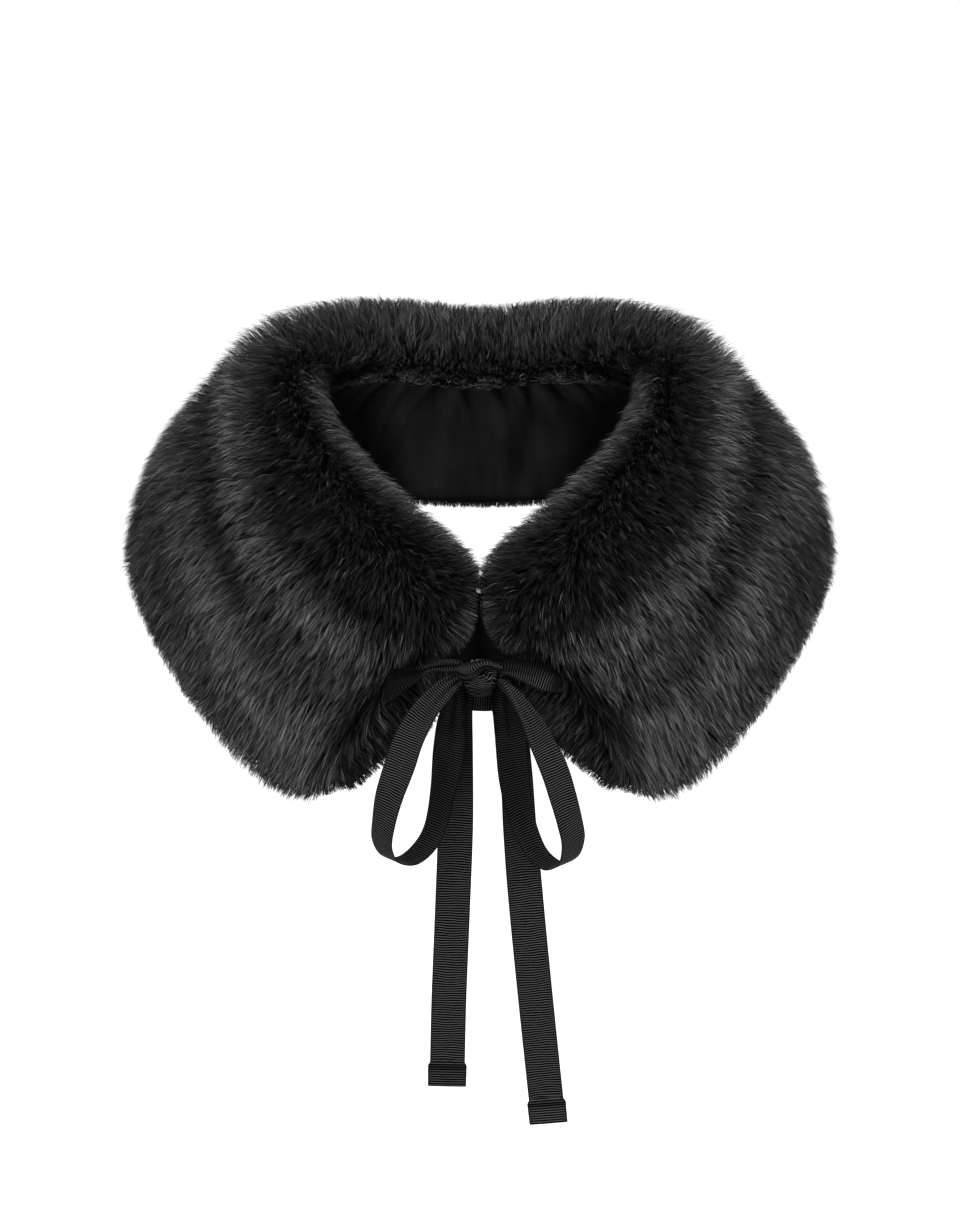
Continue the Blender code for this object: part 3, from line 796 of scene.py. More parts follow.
def skin_material():
    """The dark ground that the pile grows from, streaked and uneven."""
    material, tree, shader = node_material("pile backing", 0.9, 0.05)
    finished(tree, shader, toned(tree, noise(tree, 700, 4), (0.3, 0.0005), (0.5, 0.002), (0.72, 0.007)))
    return material


TWILL_PITCH = 1.05
LINING_MAP = "lining weave"
LINING_SHADE_MAP = "lining folds"  # painted shade by how open a fold is, and by how far from the lining's edges, darker near them


def lining_material():
    """A matt twill: fine diagonal ribs of uneven thread."""
    material, tree, shader = node_material("lining twill", 0.9, 0.01)
    calc = functools.partial(maths, tree)
    vector, across, down = map_parts(tree, LINING_MAP)
    turn = 2 * math.pi / TWILL_PITCH
    rib = waving(tree, "SINE", calc("MULTIPLY", calc("SUBTRACT", across, down), turn / math.sqrt(2)))
    thread = waving(tree, "SINE", calc("MULTIPLY", calc("ADD", across, down), turn * 2.2), 0.2)
    weave = weighted(tree, (rib, 0.6), (noise(tree, 1.4, 3, vector), 0.5), (thread, 0.5))
    streaks = tree.nodes.new("ShaderNodeCombineXYZ")
    tree.links.new(across, streaks.inputs["X"])
    tree.links.new(calc("MULTIPLY", down, 0.25), streaks.inputs["Y"])
    # Painted shade in the closed folds and along the lining's edges
    _, fold, edge = map_parts(tree, LINING_SHADE_MAP)
    colour = multiplied(
        tree,
        toned(tree, weave, (0.3, 0.0003), (0.6, 0.0032), (0.95, 0.022)),
        toned(tree, noise(tree, 0.07, 2, streaks.outputs["Vector"]), (0.35, 0.45), (0.65, 1.2)),
        toned(tree, fold, (0.0, 0.05), (1.0, 1.0)),
        toned(tree, edge, (0.0, 0.1), (1.0, 1.0)),
    )
    finished(tree, shader, colour, weave, 0.5, 0.0001)
    return material


RIB = 1.35  # the pitch of the ribbon's ribs
RIBBON_WIDTH = 19.0
SELVEDGE = 0.7
RIBBON_MAP = "ribbon weave"
SHADE_MAP = "ribbon shade"  # how much of its light reaches the ribbon: 1 in the open


def ribbon_material():
    """Grosgrain: ribs straight across, fine warp over them, and a plain selvedge at both edges."""
    material, tree, shader = node_material("grosgrain", 0.6, 0.01)
    calc = functools.partial(maths, tree)
    vector, along, across = map_parts(tree, RIBBON_MAP)
    uneven = noise(tree, 1.1, 3, vector)
    shift = calc("MULTIPLY_ADD", uneven, 0.9, -0.45)
    rib = waving(tree, "COSINE", calc("MULTIPLY_ADD", along, 2 * math.pi / RIB, shift))
    warp = waving(tree, "COSINE", calc("MULTIPLY", across, 18.0))
    edge = calc("GREATER_THAN", calc("ABSOLUTE", across), RIBBON_WIDTH / 2 - SELVEDGE)
    rib = calc("MULTIPLY_ADD", edge, calc("SUBTRACT", 0.62, rib), rib)
    height = weighted(tree, (rib, 0.8), (warp, 0.12), (uneven, 0.12))
    _, open_to_light, _ = map_parts(tree, SHADE_MAP)
    # Painted highlight on the ribs' crests and painted shade between them, times the painted shade of the
    # shade map
    colour = multiplied(
        tree,
        toned(tree, height, (0.16, 0.0002), (0.52, 0.0007), (0.76, 0.014), (1.0, 0.09)),
        toned(tree, open_to_light, (0.0, 0.04), (1.0, 1.0)),
    )
    finished(tree, shader, colour, height, 0.6, 0.00012)
    return material


PILE = fur_material()
SKIN = skin_material()
TWILL = lining_material()
GROSGRAIN = ribbon_material()


# --- Meshes ---------------------------------------------------------------------------------------
def put_map(mesh, name, values):
    """A UV map from a pair of numbers for each vertex."""
    layer = mesh.uv_layers.new(name=name)
    corners = np.zeros(len(mesh.loops), np.int32)
    mesh.loops.foreach_get("vertex_index", corners)
    layer.uv.foreach_set("vector", np.asarray(values)[corners].astype(np.float32).ravel())


def mesh_in_scene(mesh, material):
    """The mesh as an object in the scene, with its material."""
    mesh.materials.append(material)
    made = bpy.data.objects.new(mesh.name, mesh)
    bpy.context.collection.objects.link(made)
    return made


def mesh_object(name, verts, faces, material):
    """A smooth-shaded mesh of points in millimetres, with its faces turned outwards."""
    mesh = bpy.data.meshes.new(name)
    mesh.from_pydata([Vector(p) * MM for p in verts], [], faces)
    mesh.shade_smooth()
    bm = bmesh.new()
    bm.from_mesh(mesh)
    bmesh.ops.recalc_face_normals(bm, faces=bm.faces)
    bm.to_mesh(mesh)
    bm.free()
    return mesh_in_scene(mesh, material)


def tube_faces(rings, sides, first=0):
    """The faces of a closed tube of so many rings, from its first vertex, with flat ends."""
    faces = []
    for ring in range(rings - 1):
        near = first + ring * sides
        far = near + sides
        for k in range(sides):
            step = (k + 1) % sides
            faces.append((near + k, near + step, far + step, far + k))
    top = first + (rings - 1) * sides
    return faces + [tuple(reversed(range(first, first + sides))), tuple(range(top, top + sides))]


def tube(name, rings, material):
    """A closed tube through rings of points."""
    points = [p for ring in rings for p in ring]
    return mesh_object(name, points, tube_faces(len(rings), len(rings[0])), material)


def cloth(name, middle, half, weave, material, map_name):
    """Cloth of some thickness over a grid of points: half says how thick at each, weave its place in it."""
    normal = unit(np.cross(np.gradient(middle, axis=0), np.gradient(middle, axis=1)))
    rows, columns = middle.shape[:2]
    sides = [(middle + normal * sign * half[..., None]).reshape(-1, 3) for sign in (1, -1)]
    index = np.arange(rows * columns).reshape(rows, columns)
    quads = np.stack([index[:-1, :-1], index[1:, :-1], index[1:, 1:], index[:-1, 1:]], -1).reshape(-1, 4)
    rim = np.concatenate([index[:-1, 0], index[-1, :-1], index[:0:-1, -1], index[0, :0:-1]])
    following = np.roll(rim, -1)
    other = rows * columns
    walls = np.stack([following, rim, rim + other, following + other], -1)
    faces = np.concatenate([quads, quads[:, ::-1] + other, walls]).tolist()
    made = mesh_object(name, np.concatenate(sides), faces, material)
    put_map(made.data, map_name, np.concatenate([weave.reshape(-1, 2)] * 2))
    return made


# --- Ribbon ---------------------------------------------------------------------------------------
CLOTH = 0.45  # the ribbon's thickness
RIB_RELIEF = 0.16
EDGE_RELIEF = -0.05  # at the selvedge
BESIDE_EDGE = 0.4  # the share of the ribs' relief that is left beside it
RIB_BEND = 0.5  # how far the ribs arch across the ribbon, and sway along it
RIB_SWAY = 0.22
FINE = 40  # steps between two rows of a route, before it is cut into ribs
MOST_PLEAT = 1.5
EDGE_SHARE = SELVEDGE / RIBBON_WIDTH
ACROSS = np.concatenate([[-0.5], np.linspace(EDGE_SHARE - 0.5, 0.5 - EDGE_SHARE, 15), [0.5]])
# How much longer than its base a wave is, by its steepest slope
SLOPES = np.linspace(0, 12, 240)
LENGTHS = np.sqrt(1 + (SLOPES[:, None] * np.cos(np.linspace(0, 2 * math.pi, 240))) ** 2).mean(1)

# Each stretch runs down its rows. x, y, z: the middle of the ribbon. swing, lift: the way its width
# runs, in degrees from +X in plan and up. width: less than the ribbon's where it is drawn together.
LOOP_RIGHT = (
    (-11.2, -138, -104.5, -10, -40, 7),
    (-19, -142, -109.5, -14, -40, 11),
    (-28.8, -146.5, -119.5, -20, -28, 13.5),
    (-37, -151, -133, -27, -10, 17),
    (-42.8, -154, -149, -32, 0, 19),
    (-48, -156, -164, -40, 0, 19),
    (-51, -156, -178, -50, 0, 19),
    (-52, -153, -191, -56, 0, 19),
    (-47.5, -147, -201, -58, 0, 19),
    (-38.5, -139, -204, -56, 0, 19),
    (-29.5, -132.5, -198, -54, 0, 19),
    (-24, -129, -188, -54, 0, 19),
    (-20, -128, -169, -46, 0, 19),
    (-17, -127.5, -148, -30, 0, 19),
    (-14.9, -129, -131, -20, 0, 17),
    (-12.6, -130.4, -116, -10, 0, 11),
    (-13.8, -130.2, -106.5, 0, 0, 8),
)
LOOP_LEFT = (
    (10.5, -138, -106, 10, -40, 8),
    (17, -142, -112, 20, -38, 11),
    (25.5, -146.5, -123.5, 30, -28, 14),
    (33.3, -150, -138, 38, -12, 18),
    (39.5, -153, -151, 40, 0, 19),
    (44, -155, -165, 42, 0, 19),
    (47.5, -155.5, -178, 46, 0, 19),
    (49.5, -154, -190, 50, 0, 19),
    (47, -149, -201, 56, 0, 19),
    (39.5, -141, -206.5, 58, 0, 19),
    (31, -134.5, -202, 54, 0, 19),
    (25.5, -131, -192, 50, 0, 19),
    (21, -129, -178, 42, 0, 19),
    (18, -128, -160, 32, 0, 19),
    (16.5, -128, -140, 28, 0, 19),
    (13.6, -130, -119, 14, 0, 14),
    (13.6, -130.2, -107, 0, 0, 8),
)
TAIL_RIGHT = (
    (-8, -126.4, -114.5, 0, 0, 10),
    (-11.5, -125.6, -127, -2, 0, 15),
    (-13.2, -121, -150, -6, 0, 19),
    (-13.2, -121, -190, 2, 0, 19),
    (-14.8, -122, -235, 4, 0, 19),
    (-16.8, -123, -285, 2, 0, 19),
    (-17.7, -123, -322, 0, 0, 19),
)
TAIL_LEFT = (
    (9, -126.4, -114.5, 0, 0, 10),
    (14.4, -125.5, -127, 3, 0, 15),
    (19, -121, -155, 27, 0, 19),
    (21.7, -121, -195, 18, 0, 19),
    (25.6, -122, -240, 0, 0, 19),
    (30.5, -123, -290, -2, 0, 19),
    (36, -123.5, -343, -4, 0, 19),
)
CROSSING = (
    (-15, -120.5, -116, 90, 88, 18),
    (0, -124.2, -116, 90, 88, 19),
    (15, -120.5, -117, 90, 88, 18),
)
# The band over the top of the knot
WRAP = (
    (-10.8, -132.5, -100.4, 0, 92, 8.0),
    (-8.4, -138.0, -100.6, 0, 100, 9.0),
    (-4.0, -141.6, -98.8, 0, 116, 8.5),
    (0.4, -141.6, -96.2, 0, 100, 5.0),
    (4.6, -140.9, -95.8, 0, 78, 3.8),
    (8.6, -137.8, -97.8, 0, 60, 3.4),
    (10.6, -132.5, -99.6, 0, 60, 3.2),
)
# Where little light reaches them: from and to, over how far it fades, and how much of it is left
LOOP_DARK = ((0, 2, 5, 0.5), (168, 240, 30, 0.55), (210, 240, 12, 0.6))
TAIL_DARK = ((0, 30, 40, 0.4),)
CROSSING_DARK = ((0, 40, 1, 0.5),)
# The ties run from the knot over the pile of the fronts and sink into it
TIE_RIGHT = (
    (-10.4, -133, -98.8, 90, 84, 5.5),
    (-18, -131.5, -98.8, 90, 88, 6.5),
    (-26.8, -129.8, -100.6, 90, 85, 3.2),
    (-34, -131, -103.5, 90, 80, 8.5),
    (-42, -131.5, -107, 90, 78, 13),
    (-48, -128, -110.5, 95, 75, 17),
    (-53, -123, -114, 100, 75, 18),
)
TIE_LEFT = (
    (10.4, -133, -100, 90, 84, 5),
    (17, -132, -99.6, 90, 88, 10),
    (26, -131, -101.0, 90, 86, 15.5),
    (35, -131.5, -103.4, 90, 84, 18.5),
    (40.5, -128, -105.4, 94, 82, 19),
    (45, -121, -107.4, 98, 80, 19),
)
TUCKED = 7.0  # how far back the upper edge of the left one is tucked
PRESSING = 0.66  # the share of a tie's length that presses the pile down


def across_of(swing, lift):
    """The way a ribbon's width runs, by its two angles in degrees."""
    swing, lift = np.radians(swing), np.radians(lift)
    return np.stack([np.cos(lift) * np.cos(swing), np.cos(lift) * np.sin(swing), np.sin(lift)], -1)


def smoothed(rows, steps):
    """A curve through the rows, whatever their shape, with so many steps between two."""
    values = np.array(rows, float)
    values = np.concatenate([2 * values[:1] - values[1:2], values, 2 * values[-1:] - values[-2:-1]])
    curve = [spline(*values[i : i + 4], k / steps) for i in range(len(rows) - 1) for k in range(steps)]
    return np.array(curve + [values[-2]])


def cut_to_ribs(curve):
    """The curve's values at every half rib of its length, and those lengths."""
    gone = gone_along(curve[:, :3])
    at = np.arange(0, gone[-1], RIB / 2)
    return np.stack([np.interp(at, gone, column) for column in curve.T], 1), at


def pleat_depth(width, count):
    """How deep so many pleats are that draw the ribbon in to this width."""
    slope = np.interp(RIBBON_WIDTH / width, LENGTHS, SLOPES)
    return np.minimum(slope * width / (2 * math.pi * count), MOST_PLEAT)


def pleated(edge_to_edge, width, at, phase, count):
    """The ribbon's middle with its pleats: a grid of points without them, and the width at each row."""
    normal = unit(np.cross(np.gradient(edge_to_edge, axis=0), np.gradient(edge_to_edge, axis=1)))
    wave = np.sin(2 * math.pi * count * ACROSS[None, :] + phase + 0.5 * np.sin(at / 17 + phase)[:, None])
    wave = wave + 0.35 * np.sin(4.4 * math.pi * ACROSS[None, :] + 2 * phase)
    return edge_to_edge + normal * (pleat_depth(width, count)[:, None] * wave)[..., None]


def rib_relief(rows):
    """How far the cloth stands out at each half rib."""
    return RIB_RELIEF * np.where(np.arange(rows) % 2 == 0, 1, -1)[:, None] * np.ones(len(ACROSS))


def ribbon_cloth(name, middle, half, at, shade):
    """The cloth of a ribbon or a hem, with its weave's map and its light's."""
    weave = np.stack(np.broadcast_arrays(at[:, None], (ACROSS * RIBBON_WIDTH)[None, :]), -1)
    made = cloth(name, middle, half, weave, GROSGRAIN, RIBBON_MAP)
    put_shade(made, np.broadcast_to(shade, half.shape))
    return made


def ribbon(name, middle, at, shade):
    """A ribbon's cloth over a grid of points, a row for each half rib. The ribs bend a little."""
    down, over = at[:, None], ACROSS[None, :]
    drift = RIB_BEND * np.cos(math.pi * over) * np.sin(down / 23 + 1)
    drift = drift + RIB_SWAY * (np.sin(down / 4.1 + 5 * over) + 0.5 * np.sin(down / 2.1 - 11 * over))
    middle = middle + unit(np.gradient(middle, axis=0)) * (drift * smooth(down / 6))[..., None]
    relief = rib_relief(len(at))
    relief[:, [0, -1]] = EDGE_RELIEF
    relief[:, [1, -2]] *= BESIDE_EDGE
    made = ribbon_cloth(name, middle, CLOTH / 2 + relief, at, shade)
    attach(made, "root")
    return made


def put_shade(made, shade):
    """The map of how much light reaches each point of a ribbon's faces."""
    shade = 0.01 + 0.98 * np.clip(shade, 0, 1).reshape(-1, 1)
    faces = len(made.data.vertices) // len(shade)
    put_map(made.data, SHADE_MAP, np.tile(shade, (faces, 2)))


def laid_flat(place, across, width):
    """A ribbon's grid of points, from its middle line, the way of its width, and its width at each row."""
    return place[:, None] + across[..., None, :] * (ACROSS[None, :] * width[:, None])[..., None]


def stretched_out(rows):
    """The middle of a ribbon on its route: its points, each row's width and length gone."""
    values, at = cut_to_ribs(smoothed(rows, FINE))
    place, width = values[:, :3], values[:, 5]
    across = square_to(unit(np.gradient(place, axis=0)), across_of(values[:, 3], values[:, 4]))
    return laid_flat(place, across, width), width, at


def free_ribbon(name, rows, phase, count, dark=()):
    """A stretch of ribbon on its own route, and its length.

    dark holds the stretches that little light reaches: from, to, over how far it fades, and how much.
    """
    middle, width, at = stretched_out(rows)
    shade = np.ones_like(at)
    for first, last, fade, light in dark:
        shade = shade * (1 - (1 - light) * rising(at, first - fade, fade) * falling(at, last + fade, fade))
    return ribbon(name, pleated(middle, width, at, phase, count), at, shade[:, None]), at[-1]


TIES = {"tie_left": stretched_out(TIE_LEFT), "tie_right": stretched_out(TIE_RIGHT)}
TIES["tie_left"][0][..., 1] += TUCKED * smooth(ACROSS * 2)
PRESSED = 0.9  # how far behind a tie's middle the pile under it stays
NEAR_TIE = 2.2  # pile that is this near to a point of a tie, squared, lies under it


def clear_of_ties(points):
    """The strands' points, those over a tie pressed back behind it."""
    points = points.copy()
    for grid, _, _ in TIES.values():
        flat = grid[: int(PRESSING * len(grid)), 3:-3].reshape(-1, 3)
        low, high = flat.min(0) - 1, flat.max(0) + 1
        low[1], high[1] = -np.inf, 0
        near = ((points > low) & (points < high)).all(-1)
        found = points[near]
        away, depth = np.full(len(found), np.inf), np.zeros(len(found))
        for place in flat[::4]:
            gap = (found[:, 0] - place[0]) ** 2 + (found[:, 2] - place[2]) ** 2
            closer = gap < away
            away = np.where(closer, gap, away)
            depth = np.where(closer, place[1], depth)
        over = (away < NEAR_TIE) & (found[:, 1] < depth + PRESSED)
        found[:, 1] = np.where(over, depth + PRESSED, found[:, 1])
        points[near] = found
    return points


HEM_DEPTH = 14.0
HEM_THICKNESS = 1.9
HEM_SPREADS = 2.2  # how much wider than the ribbon it is at its top, and how much of that goes to its foot
HEM_NARROWS = 0.4
HEM_BOW = 0.35  # how far its middle stands out
HEM_FOLD = 0.9  # over how much it thins at its foot, to which share
HEM_FOOT = 0.25
HEM_EDGE = 0.45  # the share of its thickness at its two ends
HEM_SEAM = 2.6  # how far down its stitches run
STITCHES = 5  # to either side of the middle one
STITCH_PITCH = 1.7
STITCH_LENGTH = 1.2
STITCH_RADIUS = 0.16
STITCH_LIFT = 0.25  # from the hem's face
STITCH_SIDES = 6
# Along half a stitch's length: its share of the radius, and how deep it sinks
STITCH_RINGS = ((-1, 0.35, 0.14), (-0.6, 1, 0), (0.6, 1, 0), (1, 0.35, 0.14))


def hem(name, rows):
    """The folded end of a tail, its depth below the last row, and its row of stitches."""
    values, _ = cut_to_ribs(smoothed(rows, FINE))
    end = np.array(rows[-1][:3], float)
    along = unit(end - values[-20, :3])
    across = square_to(along, across_of(values[-1, 3], values[-1, 4]))
    normal = np.cross(along, across)
    at = np.arange(-RIB, HEM_DEPTH + 0.01, RIB / 2)
    share = np.clip(at / HEM_DEPTH, 0, 1)
    width = RIBBON_WIDTH + HEM_SPREADS * smooth(at / 2.0) - HEM_NARROWS * share
    bow = HEM_BOW * np.sin(math.pi * share)[:, None] * np.cos(math.pi * ACROSS)[None, :]
    middle = laid_flat(end + along * at[:, None], across, width) + normal * bow[..., None]
    half = HEM_THICKNESS / 2 * rising(at, -RIB, 2 * RIB)
    half = half * (1 - (1 - HEM_FOOT) * rising(at, HEM_DEPTH - HEM_FOLD, HEM_FOLD))
    half = (CLOTH / 2 + half)[:, None] + rib_relief(len(at))
    half[:, [0, -1]] *= HEM_EDGE
    # Painted shade along the stitched band and at the folded foot
    hem_shade = 0.75 * hump(at, HEM_SEAM, 1.5) + 0.85 * rising(at, HEM_DEPTH - 1.2, 1.0)
    made = ribbon_cloth(name, middle, half, at + len(values), 1 - hem_shade[:, None])
    out = normal * (HEM_THICKNESS / 2 + STITCH_LIFT)
    seam = stitches(name + "_stitches", end + along * HEM_SEAM, across, along, out)
    for piece in (made, seam):
        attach(piece, "root")
    return made, seam


def stitches(name, middle, across, along, out):
    """A straight row of stitches on both faces."""
    verts, faces = [], []
    up = unit(out)
    for k in range(-STITCHES, STITCHES + 1):
        for face in (1, -1):
            centre = middle + across * (k * STITCH_PITCH) + out * face
            faces += tube_faces(len(STITCH_RINGS), STITCH_SIDES, len(verts))
            for end, share, sink in STITCH_RINGS:
                ring = centre + across * (end * STITCH_LENGTH / 2) - up * face * sink
                for angle in np.arange(STITCH_SIDES) * 2 * math.pi / STITCH_SIDES:
                    around = along * math.cos(angle) + up * math.sin(angle)
                    verts.append(ring + around * STITCH_RADIUS * share)
    made = mesh_object(name, verts, faces, GROSGRAIN)
    put_map(made.data, RIBBON_MAP, [(p.co.x / MM * 3, 0) for p in made.data.vertices])
    # Painted shade: the stitches have half of the light
    put_shade(made, np.full(len(verts), 0.5))
    return made


# The knot, from its top down. z: height. wide, deep: its half sizes. lean: how far forward it sits.
KNOT = (
    (-95.6, 3.6, 2.4, 1.0),
    (-96.8, 7.2, 4.8, 0.6),
    (-99.6, 8.9, 6.6, 0.0),
    (-103.2, 8.6, 7.6, 0.3),
    (-107.0, 8.2, 8.2, 1.2),
    (-110.6, 7.4, 7.2, 1.2),
    (-113.6, 5.6, 4.8, 0.4),
    (-115.4, 2.6, 2.2, 0.0),
)
KNOT_Y = -132.4
KNOT_SIDES = 96
KNOT_STEPS = 12
KNOT_SQUARENESS = 2.6
KNOT_DARK = -107.0  # below this little light reaches it
# Dents in the knot: x, z, radius, depth
DENTS = (
    (2.6, -99.6, 2.6, 4.6), (-6.2, -104.4, 1.7, 1.8), (-2.2, -106.5, 1.3, 1.1), (3.8, -105.6, 1.5, 1.0),
    (0.4, -103.2, 1.0, 0.9),
)


def dents_at(x, z):
    """Each dent's depth, and how much of it there is at each point."""
    return [(depth, hump(np.hypot(x - dx, z - dz), 0, radius)) for dx, dz, radius, depth in DENTS]


def make_knot():
    """The knot: a wrinkled wad of ribbon, with the band over its top."""
    values = smoothed(KNOT, KNOT_STEPS)
    angle = np.linspace(0, 2 * math.pi, KNOT_SIDES, endpoint=False)
    c, s = np.cos(angle), np.sin(angle)
    round_off = (np.abs(c) ** KNOT_SQUARENESS + np.abs(s) ** KNOT_SQUARENESS) ** (-1 / KNOT_SQUARENESS)
    z, wide, deep, lean = (values[:, k, None] for k in range(4))
    x = wide * c * round_off
    y = KNOT_Y - lean + deep * s * round_off
    # The ribs run across the wad, and wave with its wrinkles
    along = -z + 0.55 * np.sin(x * 1.1 + 0.4) + 0.9 * np.sin(z * 0.5 + x * 0.33)
    along = along + 0.35 * np.sin(x * 2.3 - z * 0.7)
    wrinkles = 0.5 * np.sin(z * 0.8 + x * 0.45 + 0.9) * np.clip(-s, 0, 1)
    swell = 0.2 * np.cos(2 * math.pi * along / RIB) + wrinkles
    shade = 1 - 0.6 * falling(z, KNOT_DARK, 3) + 0 * x
    # Painted shade in the dents
    for depth, shape in dents_at(x, z):
        swell = swell - depth * shape * (s < 0)
        shade = shade * (1 - 0.9 * min(depth / 2, 1) * shape)
    swell = swell * falling(z, KNOT[0][0] + 0.2, 2) * rising(z, KNOT[-1][0], 2)
    out = np.stack([c + 0 * z, s + 0 * z, 0 * x], -1)
    points = np.stack([x, y, z + 0 * x], -1) + out * swell[..., None]
    core = tube("knot_core", points, GROSGRAIN)
    put_map(core.data, RIBBON_MAP, np.stack([along, x * 0.8], -1).reshape(-1, 2))
    put_shade(core, shade)
    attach(core, "root")
    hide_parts("knot")
    wrap, length = free_ribbon("knot_wrap", WRAP, 0.7, 1.5)


def tie_shade(name, at):
    """How much light reaches a tie: less on its upper part, and little where it goes under the pile."""
    if name == "tie_left":
        return 0.85 * (1 - 0.9 * rising(ACROSS, -0.06, 0.12)) * (1 - 0.75 * rising(at, 25, 8))[:, None]
    return 0.75 - 0.5 * rising(at, 18, 6)[:, None] - 0.2 * smooth(ACROSS * 4)


def make_ribbons():
    """The bow: its loops, tails, ties, crossing and knot."""
    for name, rows, phase in (("loop_left", LOOP_LEFT, 0.6), ("loop_right", LOOP_RIGHT, 2.1)):
        made, length = free_ribbon(name + "_ribbon", rows, phase, 2.5, LOOP_DARK)
        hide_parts(name)
    for name, rows, phase in (("tail_left", TAIL_LEFT, 1.2), ("tail_right", TAIL_RIGHT, 2.9)):
        made, length = free_ribbon(name + "_ribbon", rows, phase, 2.5, TAIL_DARK)
        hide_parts(name)
        folded = hem(name + "_hem", rows)
    for name, phase in (("tie_left", 0.4), ("tie_right", 1.9)):
        middle, drawn_in, at = TIES[name]
        made = ribbon(name + "_ribbon", pleated(middle, drawn_in, at, phase, 1.6), at, tie_shade(name, at))
        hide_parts(name)
    made, length = free_ribbon("crossing_ribbon", CROSSING, 0.3, 2.5, CROSSING_DARK)
    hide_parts("tie_crossing")
    make_knot()


# --- Lining ---------------------------------------------------------------------------------------
LINING_LIFT = 0.9  # from the pile's backing to the lining's middle
LEAST_LIFT = 0.35
LINING_OUT = 0.5  # how much further it stands out, and how far it waves
LINING_CLOTH = 0.4
GATHERED = 2.8  # either side of the centre back, in sections
GATHERS_FADE = 0.6
GATHER_DEPTH = 1.4
GATHERS = 2.2  # to a section
GATHER_LENGTH = 0.8  # as a share of the lining's width
LINING_TURN = 0.18  # how far round the hem it is turned, as a share of it
TURNED_IN = 1.2  # how far it goes in there
SMALL_GATHERS = 16  # the short pleats under the top seam
SMALL_GATHERED = 2.3  # the outermost ones' stations
SMALL_GATHER_DEPTH = 1.9
SMALL_GATHER_WIDTH = 0.07
SMALL_GATHER_LENGTH = 0.3
# Painted shade darkens the lining this far from the centre at its top, at its foot, and over this
RIM_SHADE = (90.0, 52.0, 34.0)
FOOT_SHADE = 0.93  # and towards this share of its width


def gathers(u, share):
    """How far the gathers stand out, which spread from the top seam: u, and the share of the width."""
    wave = 2 * math.pi * GATHERS * u + 0.9 * np.sin(2.3 * u)
    growing = 0.3 + 0.7 * smooth(share / 0.1)
    fading = falling(np.abs(u), GATHERED, GATHERS_FADE) * (1 - smooth(share / GATHER_LENGTH))
    return GATHER_DEPTH * (1 + np.cos(wave)) / 2 * growing * fading


def small_gathers(u, share):
    """How closed the short pleats under the top seam are."""
    rng = np.random.default_rng(5)
    small = np.zeros_like(u)
    for at in np.linspace(-SMALL_GATHERED, SMALL_GATHERED, SMALL_GATHERS):
        at = at + rng.uniform(-0.06, 0.06)
        lean = rng.uniform(-0.5, 0.5)
        length = SMALL_GATHER_LENGTH * rng.uniform(0.6, 1.7)
        narrow = SMALL_GATHER_WIDTH * rng.uniform(0.7, 1.3) * np.maximum(1 - 1.5 * share, 0.4)
        small = small + rng.uniform(0.5, 1.2) * hump(u, at + lean * share, narrow) * hump(share, 0, length)
    return small


def make_lining():
    """One sheet from front edge to front edge, gathered under its seam across the back."""
    middle = np.arange(-GATHERED, GATHERED + 1e-9, 0.025)
    fronts = np.linspace(GATHERED, LAST, 56)[1:]
    u = np.concatenate([-fronts[::-1], middle, fronts])[:, None]
    share = np.concatenate([np.linspace(0, 0.2, 13), np.linspace(0.2, 1, 20)[1:]])[None, :]
    u, share = np.broadcast_arrays(u, share)
    q = 3 - SEAM - share * (1 - SEAM + LINING_TURN)
    small = small_gathers(u, share)
    drawn_in = SMALL_GATHER_DEPTH * np.minimum(small, 1.3) * smooth(share / 0.012)
    lift = np.maximum(LINING_LIFT + gathers(u, share) - drawn_in, LEAST_LIFT)
    waves = np.sin(3.1 * u + 4 * share) * np.sin(math.pi * share)
    waves = waves * falling(np.abs(u), 4, 2) * rising(q, 2, 0.1)
    lift = lift + LINING_OUT * (1 + waves) - TURNED_IN * (1 - rising(q, 1.75, 0.2))
    points = sided(surface(np.abs(u), q, -lift), u)
    across, down = gone_along(points[:, 12])[:, None], gone_along(points[len(u) // 2])[None, :]
    weave = np.stack(np.broadcast_arrays(across, down), -1)
    made = cloth("lining_cloth", points, np.full(u.shape, LINING_CLOTH / 2), weave, TWILL, LINING_MAP)
    # Painted shade in the closed short pleats, beside the fronts and towards the foot
    top_edge, foot_edge, over = RIM_SHADE
    beside = falling(np.abs(points[..., 0]), top_edge + (foot_edge - top_edge) * share, over)
    low = smooth((FOOT_SHADE - share) / 0.16 + 0.3 * np.abs(np.sin(2.1 * u)))
    fold = np.stack([1 - 0.95 * np.minimum(1.5 * small, 1), beside * low], -1).reshape(-1, 2)
    put_map(made.data, LINING_SHADE_MAP, np.concatenate([0.02 + 0.96 * fold] * 2))
    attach(made, "root")
    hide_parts("lining")


# --- The fur's pieces -----------------------------------------------------------------------------
SKIN_STATIONS = 0.15
SKIN_STEP = 0.07
LINED_STEPS = 12
BEHIND_LINING = 1.2


def skin_ring(a, side):
    """A closed ring of the pile's backing at station a."""
    q = np.arange(GRID_Q[0], GRID_Q[1], SKIN_STEP)
    outside = ROOTS.at(np.full_like(q, a), q)
    q = np.linspace(2 + SEAM, 3 - SEAM, LINED_STEPS)
    inside = surface(rounded(np.full_like(q, a)), q, BEHIND_LINING, -CROSSED)
    return np.vstack([outside, inside]) * (side, 1, 1)


def make_skin(name, stations, side=0):
    """The pile's backing over these stations, at side 1 or -1, or on both sides where none is given."""
    rings = [skin_ring(abs(a), side or (1 if a >= 0 else -1)) for a in stations]
    return tube(name, rings, SKIN)


BACK, FRONT = (-SHOULDER, SHOULDER), (SHOULDER, GRID_U[1])
INNER, OUTER = (GRID_Q[0], 0.25), (0.25, GRID_Q[1])
